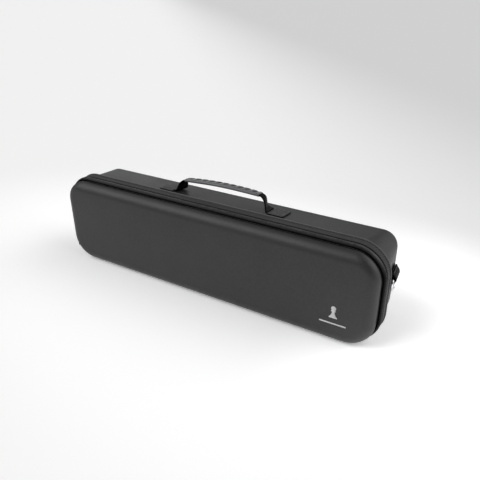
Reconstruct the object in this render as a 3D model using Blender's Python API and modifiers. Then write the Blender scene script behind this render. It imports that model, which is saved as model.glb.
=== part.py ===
"""Miniature carry case: a zipped hard-shell case for tabletop figures, standing on its long side.

Metres, +Z up. X runs along the case and the lid faces -Y. The origin lies on the floor, under the
middle of the case. Distances called u run from the parting plane, where lid and body meet, and
distances called v run outwards from the shells' rim. The lid opens forwards about the fabric
hinge that runs along the bottom.
"""
import math
from collections import namedtuple

import bmesh
import bpy
from mathutils import Matrix, Vector

# Overall size
CASE_LENGTH = 0.400
CASE_HEIGHT = 0.1046
LID_DEPTH = 0.0183
BODY_DEPTH = 0.0667
PARTING_Y = (LID_DEPTH - BODY_DEPTH) / 2
GAP = 0.0003

# Moulded shells
WALL = 0.004
LINING = 0.0008
RIM_U = 0.004
RIM_RADIUS = 0.0303
RECESS = 0.0034
BODY_RECESS_U = 0.0124
BODY_FULL_U = 0.0145
RIM_STEP_SHIFT = 0.8
DRAFT_START = 0.0066
Shell = namedtuple("Shell", "side depth draft fillet face_radius face_low_radius")
LID = Shell(-1, LID_DEPTH, 0.060, 0.0120, 0.024, 0.030)
BODY = Shell(1, BODY_DEPTH, 0.1045, 0.0122, 0.0156, 0.022)
GROOVE_START_U = 0.0056
GROOVE_LOW_U = 0.0063
GROOVE_HIGH_U = 0.0076
GROOVE_END_U = 0.0084
GROOVE_DEPTH = 0.0022
LID_BEND_U = 0.0106
DRAFT_ANGLE = math.atan(BODY.draft)

# Zip band around the rim
LID_TAPE_WIDTH = 0.0070
BODY_TAPE_WIDTH = 0.0120
TAPE_TOP = 0.00335
SLIT_HALF = 0.0008
COIL_WIDTH = 0.0022
COIL_LOW = 0.0003
COIL_HIGH = 0.0018
BOTTOM_RUN = 0.012
HINGE_HALF_WIDTH = 0.0064
HINGE_THICKNESS = 0.0012

# Slider, parked low on the left end
SLIDER_Z = 0.0405
SLIDER_HALF_LENGTH = 0.0055
PLATE_HALF_WIDTH = 0.0042
PLATE_LOW = 0.00375
PLATE_HIGH = 0.00495
INNER_HALF_WIDTH = 0.0033
INNER_LOW = -0.0013
INNER_HIGH = -0.0001
POST_HALF_WIDTH = 0.0005
BRIDGE_HALF_WIDTH = 0.0009
PULL_PIVOT_V = 0.00595
LINK_WIRE_RADIUS = 0.0006
LINK_LENGTH = 0.0120
LINK_HALF_WIDTH = 0.0032
TAB_LENGTH = 0.0240
TAB_HALF_WIDTH = 0.0043
TAB_THICKNESS = 0.0024
TAB_NECK_HALF_WIDTH = 0.0019
TAB_TOP = 0.0018
TAB_CORNER = 0.003
EYE_RADIUS = 0.00092
LINK_CORNER = 0.0012
BRIDGE_FOOT = 0.0036
BRIDGE_RISE = 0.0024
BRIDGE_WALL = 0.0008
BRIDGE_SUNK = 0.0005

# Carrying handle on the body's top
HANDLE_U = 0.032
TAB_START = 0.0620
TAB_END = 0.0816
ANCHOR_THICKNESS = 0.0012
ANCHOR_MARGIN = 0.0012
ANCHOR_CORNER = 0.0025
STRAP_WIDTH = 0.0185
STRAP_NECK_WIDTH = 0.0095
STRAP_THICKNESS = 0.0018
GRIP_HALF_LENGTH = 0.0488
GRIP_WIDTH = 0.0124
GRIP_HEIGHT = 0.0046
GRIP_END_Z = 0.0156
GRIP_MID_Z = 0.0178
GRIP_TILT = 0.0010
GRIP_TAPER = 0.12
GRIP_CORNER = 0.0019
SLOT_CORNER = 0.0002

# Shoulder-strap loops on both ends
LOOP_U = 0.037
LOOP_BAR_Z = 0.0623
LOOP_WIDTH = 0.020
LOOP_LEG = 0.0078
LOOP_THICKNESS = 0.0014
RING_WIRE_RADIUS = 0.0015
RING_HALF_WIDTH = 0.0125
RING_DROP = 0.0150
RING_STAND_OFF = 0.0037
RING_CLEARANCE = 0.0004
RING_CORNER = 0.003

# Foam insert with pockets for the figures, and the lid's padding
INSERT_FRONT_U = 0.013
INSERT_REAR_U = 0.0541
BASE_THICKNESS = 0.006
EDGE_SOFTNESS = 0.0004
POCKET_FIELD_HALF = 0.178
POCKET_FIELD_LOW = 0.013
POCKET_FIELD_HIGH = 0.087
POCKET_CORNER = 0.003
DIVIDER_THICKNESS = 0.005
CROSS_DIVIDERS = 7
LID_PAD_THICKNESS = 0.004
POCKET_HALF_LENGTH = 0.180
POCKET_LOW = 0.016
POCKET_HIGH = 0.070
MESH_THICKNESS = 0.0008
HEM_HEIGHT = 0.007
HEM_PROUD = 0.0004
POCKET_SET_BACK = 0.0026
CUT_PAST = 0.002

CORNER_STEPS = 7
FILLET_STEPS = 5

parts = None
cutters = None


def start_scene():
    """Empties the scene and makes one collection for the case and one for the cutters."""
    global parts, cutters
    for obj in list(bpy.data.objects):
        bpy.data.objects.remove(obj)
    parts = bpy.data.collections.new("miniature_carry_case")
    cutters = bpy.data.collections.new("cutters")
    for collection in (parts, cutters):
        bpy.context.scene.collection.children.link(collection)


def material(name, colour, roughness, metallic=0.0):
    """Principled material, made once and shared by the pieces that it covers."""
    made = bpy.data.materials.get(name) or bpy.data.materials.new(name)
    made.use_nodes = True
    shader = made.node_tree.nodes["Principled BSDF"]
    shader.inputs["Base Color"].default_value = (*colour, 1.0)
    shader.inputs["Roughness"].default_value = roughness
    shader.inputs["Metallic"].default_value = metallic
    made.diffuse_color = (*colour, 1.0)
    return made


def grained_skin():
    return material("grained_skin", (0.030, 0.030, 0.033), 0.55)


def zip_tape():
    return material("zip_tape", (0.028, 0.026, 0.027), 0.80)


def nylon_coil():
    return material("nylon_coil", (0.012, 0.012, 0.013), 0.45)


def lining_cloth():
    return material("lining_cloth", (0.050, 0.050, 0.055), 0.90)


def webbing():
    return material("webbing", (0.020, 0.020, 0.022), 0.75)


def grip_rubber():
    return material("grip_rubber", (0.130, 0.130, 0.135), 0.38)


def pull_rubber():
    return material("pull_rubber", (0.022, 0.022, 0.024), 0.50)


def plated_steel():
    return material("plated_steel", (0.720, 0.720, 0.740), 0.22, 1.0)


def black_metal():
    return material("black_metal", (0.050, 0.050, 0.055), 0.35, 1.0)


def foam():
    return material("foam", (0.060, 0.060, 0.065), 0.95)


def mesh_cloth():
    return material("mesh_cloth", (0.025, 0.025, 0.027), 0.85)


def add_object(name, mesh, finish, collection=None):
    """Links a mesh as one object with its material, smooth except at its edges."""
    obj = bpy.data.objects.new(name, mesh)
    (collection or parts).objects.link(obj)
    if finish:
        mesh.materials.append(finish)
    mesh.shade_smooth()
    mesh.set_sharp_from_angle(angle=math.radians(40))
    return obj


def mesh_from(name, build):
    """Mesh filled by build(bm), closed and facing outwards."""
    bm = bmesh.new()
    build(bm)
    bmesh.ops.recalc_face_normals(bm, faces=bm.faces)
    mesh = bpy.data.meshes.new(name)
    bm.to_mesh(mesh)
    bm.free()
    return mesh


def loft(name, rings, finish, loop=False, collection=None):
    """Skin over closed rings of equal length: capped at both ends, or closed on itself."""
    def build(bm):
        loops = [[bm.verts.new(point) for point in ring] for ring in rings]
        pairs = list(zip(loops, loops[1:]))
        if loop:
            pairs.append((loops[-1], loops[0]))
        else:
            bm.faces.new(loops[0])
            bm.faces.new(loops[-1])
        for near, far in pairs:
            for i in range(len(near)):
                j = (i + 1) % len(near)
                bm.faces.new((near[i], near[j], far[j], far[i]))
    return add_object(name, mesh_from(name, build), finish, collection)


def box(name, low, high, finish=None, bevel=0.0, collection=None):
    """Box between two corners, its edges rounded by bevel."""
    def build(bm):
        bmesh.ops.create_cube(bm, size=1.0)
        size = Vector(high) - Vector(low)
        bmesh.ops.scale(bm, vec=size, verts=bm.verts)
        bmesh.ops.translate(bm, vec=Vector(low) + size / 2, verts=bm.verts)
    obj = add_object(name, mesh_from(name, build), finish, collection)
    if bevel:
        rounding = obj.modifiers.new("rounded_edges", "BEVEL")
        rounding.width = bevel
        rounding.segments = 2
    return obj


def prism(name, outline, place, half_thickness, finish=None, collection=None):
    """Flat outline made solid: place(a, b, c) turns outline and thickness into x, y, z."""
    rings = [[place(a, b, side * half_thickness) for a, b in outline] for side in (-1, 1)]
    return loft(name, rings, finish, collection=collection)


def boolean(target, other, operation):
    """Cuts other from target, or joins it, leaving other as a hidden helper."""
    modifier = target.modifiers.new(other.name, "BOOLEAN")
    modifier.operation = operation
    modifier.solver = "EXACT"
    modifier.object = other
    other.hide_render = True
    other.display_type = "WIRE"


def wire(name, points, radius, finish, cyclic=True):
    """Round wire along straight runs between points."""
    curve = bpy.data.curves.new(name, "CURVE")
    curve.dimensions = "3D"
    curve.bevel_depth = radius
    curve.bevel_resolution = 2
    curve.use_fill_caps = not cyclic
    spline = curve.splines.new("POLY")
    spline.points.add(len(points) - 1)
    for target, point in zip(spline.points, points):
        target.co = (*point, 1.0)
    spline.use_cyclic_u = cyclic
    curve.materials.append(finish)
    obj = bpy.data.objects.new(name, curve)
    parts.objects.link(obj)
    return obj


def arc(centre, radius, start, end, steps):
    """Points (a, b) on a circle, from start to end degrees."""
    angles = [math.radians(start + (end - start) * i / steps) for i in range(steps + 1)]
    return [(centre[0] + radius * math.cos(t), centre[1] + radius * math.sin(t)) for t in angles]


def rounded_outline(half_length, low, high, low_radius, high_radius, steps=CORNER_STEPS):
    """Rounded rectangle as (x, z) points, symmetric in x."""
    right, left = half_length, -half_length
    return (
        arc((right - low_radius, low + low_radius), low_radius, -90, 0, steps)
        + arc((right - high_radius, high - high_radius), high_radius, 0, 90, steps)
        + arc((left + high_radius, high - high_radius), high_radius, 90, 180, steps)
        + arc((left + low_radius, low + low_radius), low_radius, 180, 270, steps)
    )


def section(shell, u, inset, low_lift=0.0):
    """Ring of a shell's wall at u, inset from its skin, with its bottom raised by low_lift."""
    straight_end = shell.depth - shell.fillet
    drafted = shell.draft * max(min(u, straight_end) - DRAFT_START, 0.0)
    bend = shell.fillet - inset
    past = min(max(u - straight_end, 0.0), bend)
    loss = inset + bend - math.sqrt(bend ** 2 - past ** 2)
    shrink = drafted + loss
    share = min(max((u - DRAFT_START) / (shell.depth - DRAFT_START), 0.0), 1.0)
    high_radius = RIM_RADIUS + (shell.face_radius - RIM_RADIUS) * share - loss
    low_radius = RIM_RADIUS + (shell.face_low_radius - RIM_RADIUS) * share - loss
    outline = rounded_outline(CASE_LENGTH / 2 - shrink, low_lift + loss, CASE_HEIGHT - shrink,
                              low_radius, high_radius)
    return [Vector((x, PARTING_Y + shell.side * u, z)) for x, z in outline]


def fillet_rings(shell, inset, start_u=None, steps=FILLET_STEPS):
    """Rings round the bend between a shell's wall and its face."""
    straight_end = shell.depth - shell.fillet
    bend = shell.fillet - inset
    first = 0.0 if start_u is None else math.asin((start_u - straight_end) / bend)
    angles = [first + (math.pi / 2 - first) * i / steps for i in range(steps + 1)]
    return [section(shell, straight_end + bend * math.sin(t), inset) for t in angles]


def lid_skin():
    """Outer rings of the lid: rim, groove beside the zip tape, then the soft bend to its face."""
    rim = [section(LID, u, 0.0, RECESS) for u in (RIM_U, GROOVE_START_U)]
    groove = [section(LID, u, GROOVE_DEPTH, RECESS) for u in (GROOVE_LOW_U, GROOVE_HIGH_U)]
    return rim + groove + fillet_rings(LID, 0.0, start_u=GROOVE_END_U, steps=FILLET_STEPS + 1)


def body_skin():
    """Outer rings of the body: rim raised off the floor, then the drafted wall and the bend."""
    return [section(BODY, RIM_U, 0.0, RECESS)] + raised_rim(0.0) + fillet_rings(BODY, 0.0)


def inside_rings(shell, inset):
    """Rings of a shell's inner side, or of its lining, at this inset."""
    rim = [section(shell, RIM_U, inset, RECESS)]
    if shell is BODY:
        return rim + raised_rim(inset) + fillet_rings(shell, inset)
    rim.append(section(LID, GROOVE_END_U, inset, RECESS))
    return rim + fillet_rings(shell, inset, start_u=LID_BEND_U)


def raised_rim(inset):
    """Rings where the body's bottom comes down from the rim's height to the floor."""
    back = inset * RIM_STEP_SHIFT
    return [section(BODY, u + back, inset, lift) for u, lift in ((BODY_RECESS_U, RECESS), (BODY_FULL_U, 0.0))]


def moulded_shell(name, outer, inner):
    loft(name, outer[::-1] + inner, grained_skin())


def lining(name, shell):
    outer = inside_rings(shell, WALL + GAP)
    inner = inside_rings(shell, WALL + GAP + LINING)
    loft(name, outer[::-1] + inner, lining_cloth())


def rim_path():
    """Zip line as (point, outward) pairs: along the bottom, round both ends and over the top."""
    route = rounded_outline(CASE_LENGTH / 2, RECESS, CASE_HEIGHT, RIM_RADIUS, RIM_RADIUS)
    angles = [math.radians(-90 + 90 * corner + 90 * i / CORNER_STEPS)
              for corner in range(4) for i in range(CORNER_STEPS + 1)]
    path = [(Vector((x, PARTING_Y, z)), Vector((math.cos(t), 0, math.sin(t))))
            for (x, z), t in zip(route, angles)]
    run = Vector((BOTTOM_RUN, 0, 0))
    start = (path[0][0] - run, path[0][1])
    end = (path[-1][0] + run, path[-1][1])
    return [start] + path + [end]


def along_rim(name, profile, side, finish):
    """Sweeps a (u, v) profile along the zip line, on the lid's side (-1) or the body's (+1)."""
    rings = [[point + out * v + Vector((0, side * u, 0)) for u, v in profile]
             for point, out in rim_path()]
    loft(name, rings, finish)


def tape_profile(width):
    """Domed zip tape, hollow underneath where it covers its coil."""
    coil_side = SLIT_HALF + COIL_WIDTH + GAP
    under = [(SLIT_HALF, COIL_HIGH + GAP), (coil_side, COIL_HIGH + GAP), (coil_side + 0.0004, GAP)]
    far_edge = [(width - 0.0002, GAP), (width, 0.0010), (width - 0.0006, 0.0023), (width - 0.0019, 0.0031)]
    near_edge = [(0.0034, TAPE_TOP), (0.0019, 0.0031), (0.0009, 0.0025)]
    return under + far_edge + near_edge


def coil_profile():
    return [(SLIT_HALF, COIL_LOW), (SLIT_HALF + COIL_WIDTH, COIL_LOW),
            (SLIT_HALF + COIL_WIDTH, COIL_HIGH), (SLIT_HALF, COIL_HIGH)]


def zip_band():
    for piece, side, width in (("lid", -1, LID_TAPE_WIDTH), ("body", 1, BODY_TAPE_WIDTH)):
        along_rim(piece + "_zip_tape", tape_profile(width), side, zip_tape())
        along_rim(piece + "_zip_coil", coil_profile(), side, nylon_coil())


def hinge_strip():
    """Cloth hinge under both rims, between the two ends of the zip."""
    half = CASE_LENGTH / 2 - RIM_RADIUS - BOTTOM_RUN - GAP
    high = RECESS - GAP
    box("hinge_strip", (-half, PARTING_Y - HINGE_HALF_WIDTH, high - HINGE_THICKNESS),
        (half, PARTING_Y + HINGE_HALF_WIDTH, high), lining_cloth())


def left_end(a, b, c):
    """Place on the left end: a along the zip (up), b outwards from the rim, c across the zip."""
    return Vector((-CASE_LENGTH / 2 - b, PARTING_Y + c, a))


def zip_slider():
    """Zip slider: plates over and under the coils, a post in the slit, and a bridge for the pull."""
    plates = [(-PLATE_HALF_WIDTH, PLATE_LOW), (-PLATE_HALF_WIDTH, PLATE_HIGH),
              (PLATE_HALF_WIDTH, PLATE_HIGH), (PLATE_HALF_WIDTH, PLATE_LOW),
              (POST_HALF_WIDTH, PLATE_LOW), (POST_HALF_WIDTH, INNER_HIGH),
              (INNER_HALF_WIDTH, INNER_HIGH), (INNER_HALF_WIDTH, INNER_LOW),
              (-INNER_HALF_WIDTH, INNER_LOW), (-INNER_HALF_WIDTH, INNER_HIGH),
              (-POST_HALF_WIDTH, INNER_HIGH), (-POST_HALF_WIDTH, PLATE_LOW)]
    body = prism("zip_slider", plates, lambda c, b, a: left_end(SLIDER_Z + a, b, c),
                 SLIDER_HALF_LENGTH, black_metal())
    foot, roof, wall = BRIDGE_FOOT, PLATE_HIGH + BRIDGE_RISE, BRIDGE_WALL
    sunk = PLATE_HIGH - BRIDGE_SUNK
    arch = [(-foot, sunk), (-foot + wall, roof), (foot - wall, roof), (foot, sunk),
            (foot - wall * 1.6, sunk), (foot - wall * 2.4, roof - wall),
            (-foot + wall * 2.4, roof - wall), (-foot + wall * 1.6, sunk)]
    bridge = prism("slider_bridge", arch, lambda a, b, c: left_end(SLIDER_Z + a, b, c),
                   BRIDGE_HALF_WIDTH, collection=cutters)
    boolean(body, bridge, "UNION")


def zip_pull():
    """Wire link through the slider's bridge, and the rubber tab on its lower end."""
    outline = rounded_outline(LINK_HALF_WIDTH, -LINK_LENGTH, 0.0, LINK_CORNER, LINK_CORNER, steps=2)
    link = wire("pull_link", [(0.0, c, a) for c, a in outline], LINK_WIRE_RADIUS, plated_steel())
    neck, reach, top = TAB_NECK_HALF_WIDTH, LINK_LENGTH + TAB_LENGTH, TAB_TOP - LINK_LENGTH
    side = arc((TAB_HALF_WIDTH - TAB_CORNER, -reach + TAB_CORNER), TAB_CORNER, -90, 0, 4)
    shoulder = [(TAB_HALF_WIDTH - 0.0006, -LINK_LENGTH - 0.0048), (neck, -LINK_LENGTH - 0.0026)]
    right = side + shoulder + [(neck, top)]
    shape = right + [(-c, a) for c, a in reversed(right)]
    tab = prism("pull_tab", shape, lambda c, a, b: Vector((b, c, a)), TAB_THICKNESS / 2, pull_rubber())
    eye = [(b, a - LINK_LENGTH) for b, a in arc((0, 0), EYE_RADIUS, 0, 315, 7)]
    hole = prism("pull_eye", eye, lambda b, a, c: Vector((b, c, a)), TAB_HALF_WIDTH, collection=cutters)
    hole.parent = tab
    boolean(tab, hole, "DIFFERENCE")
    for piece in (link, tab):
        piece.location = left_end(SLIDER_Z, PULL_PIVOT_V, 0.0)


def strap_stations():
    """Half of the handle strap, from its sewn end to the middle: (x, z, width, toe-in)."""
    rise = [(0.0616, 0.0013, 1.00, 2), (0.0593, 0.0016, 0.97, 8), (0.0573, 0.0030, 0.85, 17),
            (0.0564, 0.0056, 0.68, 22), (0.0558, 0.0088, 0.50, 22), (0.0548, 0.0119, 0.30, 18),
            (0.0528, 0.0143, 0.12, 10), (0.0502, 0.0154, 0.03, 3)]
    steps = 5
    inside = [(GRIP_HALF_LENGTH * (1 - i / steps), 0.0, 0) for i in range(steps + 1)]
    return rise + [(x, bow_z(x), share, toe) for x, share, toe in inside]


def bow_z(x):
    """Height of the handle's bowed middle above the case's top."""
    return GRIP_MID_Z - (GRIP_MID_Z - GRIP_END_Z) * (x / GRIP_HALF_LENGTH) ** 2


def lean(x, z):
    """Extra height at a point of the handle, which sits a little higher on its right."""
    return GRIP_TILT * (x / GRIP_HALF_LENGTH) * min(z / GRIP_END_Z, 1.0) ** 2


def handle_frame():
    """Empty on the body's sloping top, which the handle's pieces stand on."""
    frame = bpy.data.objects.new("handle_frame", None)
    parts.objects.link(frame)
    top = CASE_HEIGHT - BODY.draft * (HANDLE_U - DRAFT_START)
    place = Matrix.Translation((0, PARTING_Y + HANDLE_U, top))
    frame.matrix_world = place @ Matrix.Rotation(-DRAFT_ANGLE, 4, "X")
    return frame


def handle_strap(frame):
    """Webbing strap from one sewn tab to the other, gathered narrower where it enters the grip."""
    half = strap_stations()
    route = [(-x, z, share, toe) for x, z, share, toe in half] + \
            [(x, z, share, toe) for x, z, share, toe in reversed(half[:-1])]
    rings = []
    for i, (x, z, share, toe) in enumerate(route):
        before, after = route[max(i - 1, 0)], route[min(i + 1, len(route) - 1)]
        along = Vector((after[0] - before[0], 0, after[1] - before[1])).normalized()
        across = Vector((math.copysign(1, -x) * math.tan(math.radians(toe)), 1, 0))
        up = along.cross(Vector((0, 1, 0))) * -1
        half_width = (STRAP_NECK_WIDTH + (STRAP_WIDTH - STRAP_NECK_WIDTH) * share) / 2
        centre = Vector((x, 0, z + lean(x, z)))
        rings.append([centre + across * half_width * a + up * STRAP_THICKNESS / 2 * b
                      for a, b in ((-1, -1), (1, -1), (1, 1), (-1, 1))])
    loft("handle_strap", rings, webbing()).parent = frame


def handle_grip(frame):
    """Bowed rubber grip, a tube with a flat slot for the strap."""
    stations = 12
    hole = rounded_outline(STRAP_NECK_WIDTH / 2 + GAP, -STRAP_THICKNESS / 2 - GAP,
                           STRAP_THICKNESS / 2 + GAP, SLOT_CORNER, SLOT_CORNER, 2)
    outer, inner = [], []
    for i in range(stations + 1):
        x = GRIP_HALF_LENGTH * (2 * i / stations - 1)
        swell = 1 - GRIP_TAPER * (x / GRIP_HALF_LENGTH) ** 4
        z = bow_z(x) + lean(x, GRIP_END_Z)
        half, height = GRIP_WIDTH / 2 * swell, GRIP_HEIGHT / 2 * swell
        rim = rounded_outline(half, -height, height, GRIP_CORNER, GRIP_CORNER, 2)
        outer.append([Vector((x, y, z + d)) for y, d in rim])
        inner.append([Vector((x, y, z + d)) for y, d in hole])
    loft("handle_grip", outer + inner[::-1], grip_rubber(), loop=True).parent = frame


def handle_anchors(frame):
    """Sewn tabs that hold the strap's ends down."""
    half = STRAP_WIDTH / 2 + ANCHOR_MARGIN
    levels = ((GAP, 1.0), (ANCHOR_THICKNESS - GAP, 1.0), (ANCHOR_THICKNESS + GAP, 0.95))
    for which, side in (("left", -1), ("right", 1)):
        middle = side * (TAB_START + TAB_END) / 2
        outline = rounded_outline((TAB_END - TAB_START) / 2, -half, half, ANCHOR_CORNER, ANCHOR_CORNER, 3)
        rings = [[Vector((middle + x * scale, y * scale, z)) for x, y in outline]
                 for z, scale in levels]
        loft("handle_anchor_" + which, rings, grained_skin()).parent = frame


def loop_profile():
    """Hairpin of webbing round the ring's bar, as a closed (outward, up) outline about the bar."""
    turn = RING_WIRE_RADIUS + RING_CLEARANCE + LOOP_THICKNESS / 2
    wall = -RING_STAND_OFF + GAP + LOOP_THICKNESS / 2
    outer_top = wall + LOOP_THICKNESS + GAP
    middle = [(outer_top, LOOP_LEG), (outer_top + RING_CLEARANCE, LOOP_LEG * 0.78),
              (turn * 0.72, LOOP_LEG * 0.38)]
    middle += arc((0, 0), turn, 10, -190, 8)
    middle += [(wall, LOOP_LEG * 0.35), (wall, LOOP_LEG)]
    left, right = [], []
    for i, point in enumerate(middle):
        before, after = middle[max(i - 1, 0)], middle[min(i + 1, len(middle) - 1)]
        along = Vector((after[0] - before[0], after[1] - before[1])).normalized()
        side = Vector((-along.y, along.x)) * LOOP_THICKNESS / 2
        left.append((point[0] + side.x, point[1] + side.y))
        right.append((point[0] - side.x, point[1] - side.y))
    return left + right[::-1]


def ring_path():
    """D shape about its straight bar: (across, up) points."""
    corner, half = RING_CORNER, RING_HALF_WIDTH
    cut = corner * (1 - math.sqrt(0.5))
    steps = 10
    bow = [(half * math.cos(t), -corner - (RING_DROP - corner) * math.sin(t))
           for t in (math.pi * i / steps for i in range(steps + 1))]
    return [(-half + corner, 0.0), (half - corner, 0.0), (half - cut, -cut)] + bow + [(-half + cut, -cut)]


def strap_ring(which, angle, side):
    """Webbing loop sewn to an end wall, and the D-ring that hangs in its fold."""
    wall_x = CASE_LENGTH / 2 - BODY.draft * (LOOP_U - DRAFT_START)
    out = Vector((side * math.cos(DRAFT_ANGLE), math.sin(DRAFT_ANGLE), 0))
    centre = Vector((side * wall_x, PARTING_Y + LOOP_U, LOOP_BAR_Z)) + out * RING_STAND_OFF
    loop = prism("ring_loop_" + which, loop_profile(), lambda o, a, c: Vector((o, c, a)),
                 LOOP_WIDTH / 2, webbing())
    ring = wire("d_ring_" + which, [(0.0, c, a) for c, a in ring_path()], RING_WIRE_RADIUS, plated_steel())
    for piece in (loop, ring):
        piece.location = centre
        piece.rotation_euler = (0, 0, angle)


def foam_insert():
    """Foam frame that fills the body, its base sheet, and the slotted dividers between pockets."""
    inset = WALL + LINING + 2 * GAP
    field = rounded_outline(POCKET_FIELD_HALF, POCKET_FIELD_LOW, POCKET_FIELD_HIGH,
                            POCKET_CORNER, POCKET_CORNER)
    outer = [section(BODY, INSERT_FRONT_U, inset, RECESS)] + raised_rim(inset)
    outer.append(section(BODY, INSERT_REAR_U, inset))
    inner = [[Vector((x, ring[0].y, z)) for x, z in field] for ring in (outer[0], outer[-1])]
    loft("foam_frame", outer + inner[::-1], foam(), loop=True)
    face = section(BODY, BODY_DEPTH - inset, inset + EDGE_SOFTNESS)
    rear = face[0].y
    rings = [[Vector((point.x, y, point.z)) for point in face] for y in (rear - BASE_THICKNESS, rear)]
    loft("foam_base", rings, foam())
    front_y = PARTING_Y + INSERT_FRONT_U
    rear_y = rear - BASE_THICKNESS - GAP
    dividers(front_y, rear_y)


def dividers(front_y, rear_y):
    """One long divider and seven short ones, halved into each other like an egg crate."""
    middle_y = (front_y + rear_y) / 2
    middle_z = (POCKET_FIELD_LOW + POCKET_FIELD_HIGH) / 2
    half = DIVIDER_THICKNESS / 2
    reach = POCKET_FIELD_HALF - GAP
    long_one = box("foam_divider_long", (-reach, front_y, middle_z - half),
                   (reach, rear_y, middle_z + half), foam())
    for i in range(CROSS_DIVIDERS):
        x = pocket_pitch() * (i - (CROSS_DIVIDERS - 1) / 2)
        cross = box(f"foam_divider_{i + 1}", (x - half, front_y, POCKET_FIELD_LOW + GAP),
                    (x + half, rear_y, POCKET_FIELD_HIGH - GAP), foam())
        reach_out = half + GAP
        slot = box(f"slot_long_{i + 1}", (x - reach_out, front_y - CUT_PAST, middle_z - half - CUT_PAST),
                   (x + reach_out, middle_y + GAP / 2, middle_z + half + CUT_PAST), collection=cutters)
        boolean(long_one, slot, "DIFFERENCE")
        notch = box(f"slot_cross_{i + 1}", (x - half - CUT_PAST, middle_y - GAP / 2, middle_z - reach_out),
                    (x + half + CUT_PAST, rear_y + CUT_PAST, middle_z + reach_out), collection=cutters)
        boolean(cross, notch, "DIFFERENCE")


def pocket_pitch():
    """Distance between the centres of neighbouring dividers."""
    return (2 * POCKET_FIELD_HALF + DIVIDER_THICKNESS) / (CROSS_DIVIDERS + 1)


def lid_fittings():
    """Foam pad, and the mesh pocket with its elastic hem, inside the lid."""
    inset = WALL + LINING + 2 * GAP
    face = section(LID, LID_DEPTH - inset, inset + EDGE_SOFTNESS)
    pad_rear = face[0].y + LID_PAD_THICKNESS
    rings = [[Vector((point.x, y, point.z)) for point in face] for y in (face[0].y, pad_rear)]
    loft("lid_foam_pad", rings, foam())
    back, front = pad_rear + GAP, PARTING_Y - POCKET_SET_BACK
    half, low, high = POCKET_HALF_LENGTH, POCKET_LOW, POCKET_HIGH
    pocket = box("mesh_pocket", (-half, back, low), (half, front, high), mesh_cloth())
    hollow = box("pocket_hollow", (-half + MESH_THICKNESS, back - CUT_PAST, low + MESH_THICKNESS),
                 (half - MESH_THICKNESS, front - MESH_THICKNESS, high + CUT_PAST), collection=cutters)
    boolean(pocket, hollow, "DIFFERENCE")
    box("pocket_hem", (-half, front - MESH_THICKNESS, high + GAP),
        (half, front + HEM_PROUD, high + GAP + HEM_HEIGHT), webbing(), bevel=GAP)


def build():
    start_scene()
    moulded_shell("body_shell", body_skin(), inside_rings(BODY, WALL))
    moulded_shell("lid_shell", lid_skin(), inside_rings(LID, WALL))
    lining("body_lining", BODY)
    lining("lid_lining", LID)
    zip_band()
    hinge_strip()
    zip_slider()
    zip_pull()
    frame = handle_frame()
    handle_strap(frame)
    handle_grip(frame)
    handle_anchors(frame)
    strap_ring("right", DRAFT_ANGLE, 1)
    strap_ring("left", math.pi - DRAFT_ANGLE, -1)
    foam_insert()
    lid_fittings()


build()
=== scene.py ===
import math
from collections import namedtuple

import bmesh
import bpy
import numpy as np
from mathutils import Matrix, Vector


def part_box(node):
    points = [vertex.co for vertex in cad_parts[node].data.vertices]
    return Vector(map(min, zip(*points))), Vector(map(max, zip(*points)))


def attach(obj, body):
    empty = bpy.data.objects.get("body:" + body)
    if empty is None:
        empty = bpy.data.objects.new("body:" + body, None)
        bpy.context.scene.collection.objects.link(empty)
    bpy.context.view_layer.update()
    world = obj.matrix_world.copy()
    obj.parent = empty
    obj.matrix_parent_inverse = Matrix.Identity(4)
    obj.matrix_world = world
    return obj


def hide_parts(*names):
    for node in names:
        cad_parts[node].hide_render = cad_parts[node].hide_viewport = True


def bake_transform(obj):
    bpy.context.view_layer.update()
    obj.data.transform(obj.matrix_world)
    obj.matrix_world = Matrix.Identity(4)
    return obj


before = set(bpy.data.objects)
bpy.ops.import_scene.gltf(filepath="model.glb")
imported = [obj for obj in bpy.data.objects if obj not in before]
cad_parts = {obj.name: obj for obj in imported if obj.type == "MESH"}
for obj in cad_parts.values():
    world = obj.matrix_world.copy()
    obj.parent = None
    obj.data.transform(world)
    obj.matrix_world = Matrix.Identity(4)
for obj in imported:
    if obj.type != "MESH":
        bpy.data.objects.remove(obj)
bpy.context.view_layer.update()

GAP = 0.0003

# Case, read from the frame
SHELL_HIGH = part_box("body_shell")[1]
HALF_LENGTH = SHELL_HIGH.x
CASE_HEIGHT = SHELL_HIGH.z
HINGE_LOW, HINGE_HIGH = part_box("hinge_strip")
PARTING_Y = (HINGE_LOW.y + HINGE_HIGH.y) / 2
RECESS = HINGE_HIGH.z + GAP
LID_DEPTH = PARTING_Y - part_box("lid_shell")[0].y
BODY_DEPTH = SHELL_HIGH.y - PARTING_Y

# Moulded shells: the same sections as the CAD's, in finer steps
WALL = 0.004
LINING = 0.0008
RIM_U = 0.004
RIM_RADIUS = 0.0303
DRAFT_START = 0.0066
Shell = namedtuple("Shell", "side depth draft fillet face_radius face_low_radius")
LID = Shell(-1, LID_DEPTH, 0.060, 0.0120, 0.024, 0.030)
BODY = Shell(1, BODY_DEPTH, 0.1045, 0.0122, 0.0156, 0.022)
DRAFT_ANGLE = math.atan(BODY.draft)
GROOVE_DEPTH = 0.0022
GROOVE_END_U = 0.0084
LID_BEND_U = 0.0106
BODY_RECESS_U = 0.0124
BODY_FULL_U = 0.0145
RIM_STEP_SHIFT = 0.8
LID_RIM = (RIM_U, 0.0050, 0.0058)
GROOVE = ((0.0060, 0.136), (0.0063, 0.9), (0.0067, 1.0), (0.0073, 1.0), (0.0077, 0.85), (0.0080, 0.182))
LID_SKIN_BEND_U = 0.0085
CROWN = 0.0004
CORNER_STEPS = 20
FILLET_STEPS = 14

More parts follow.
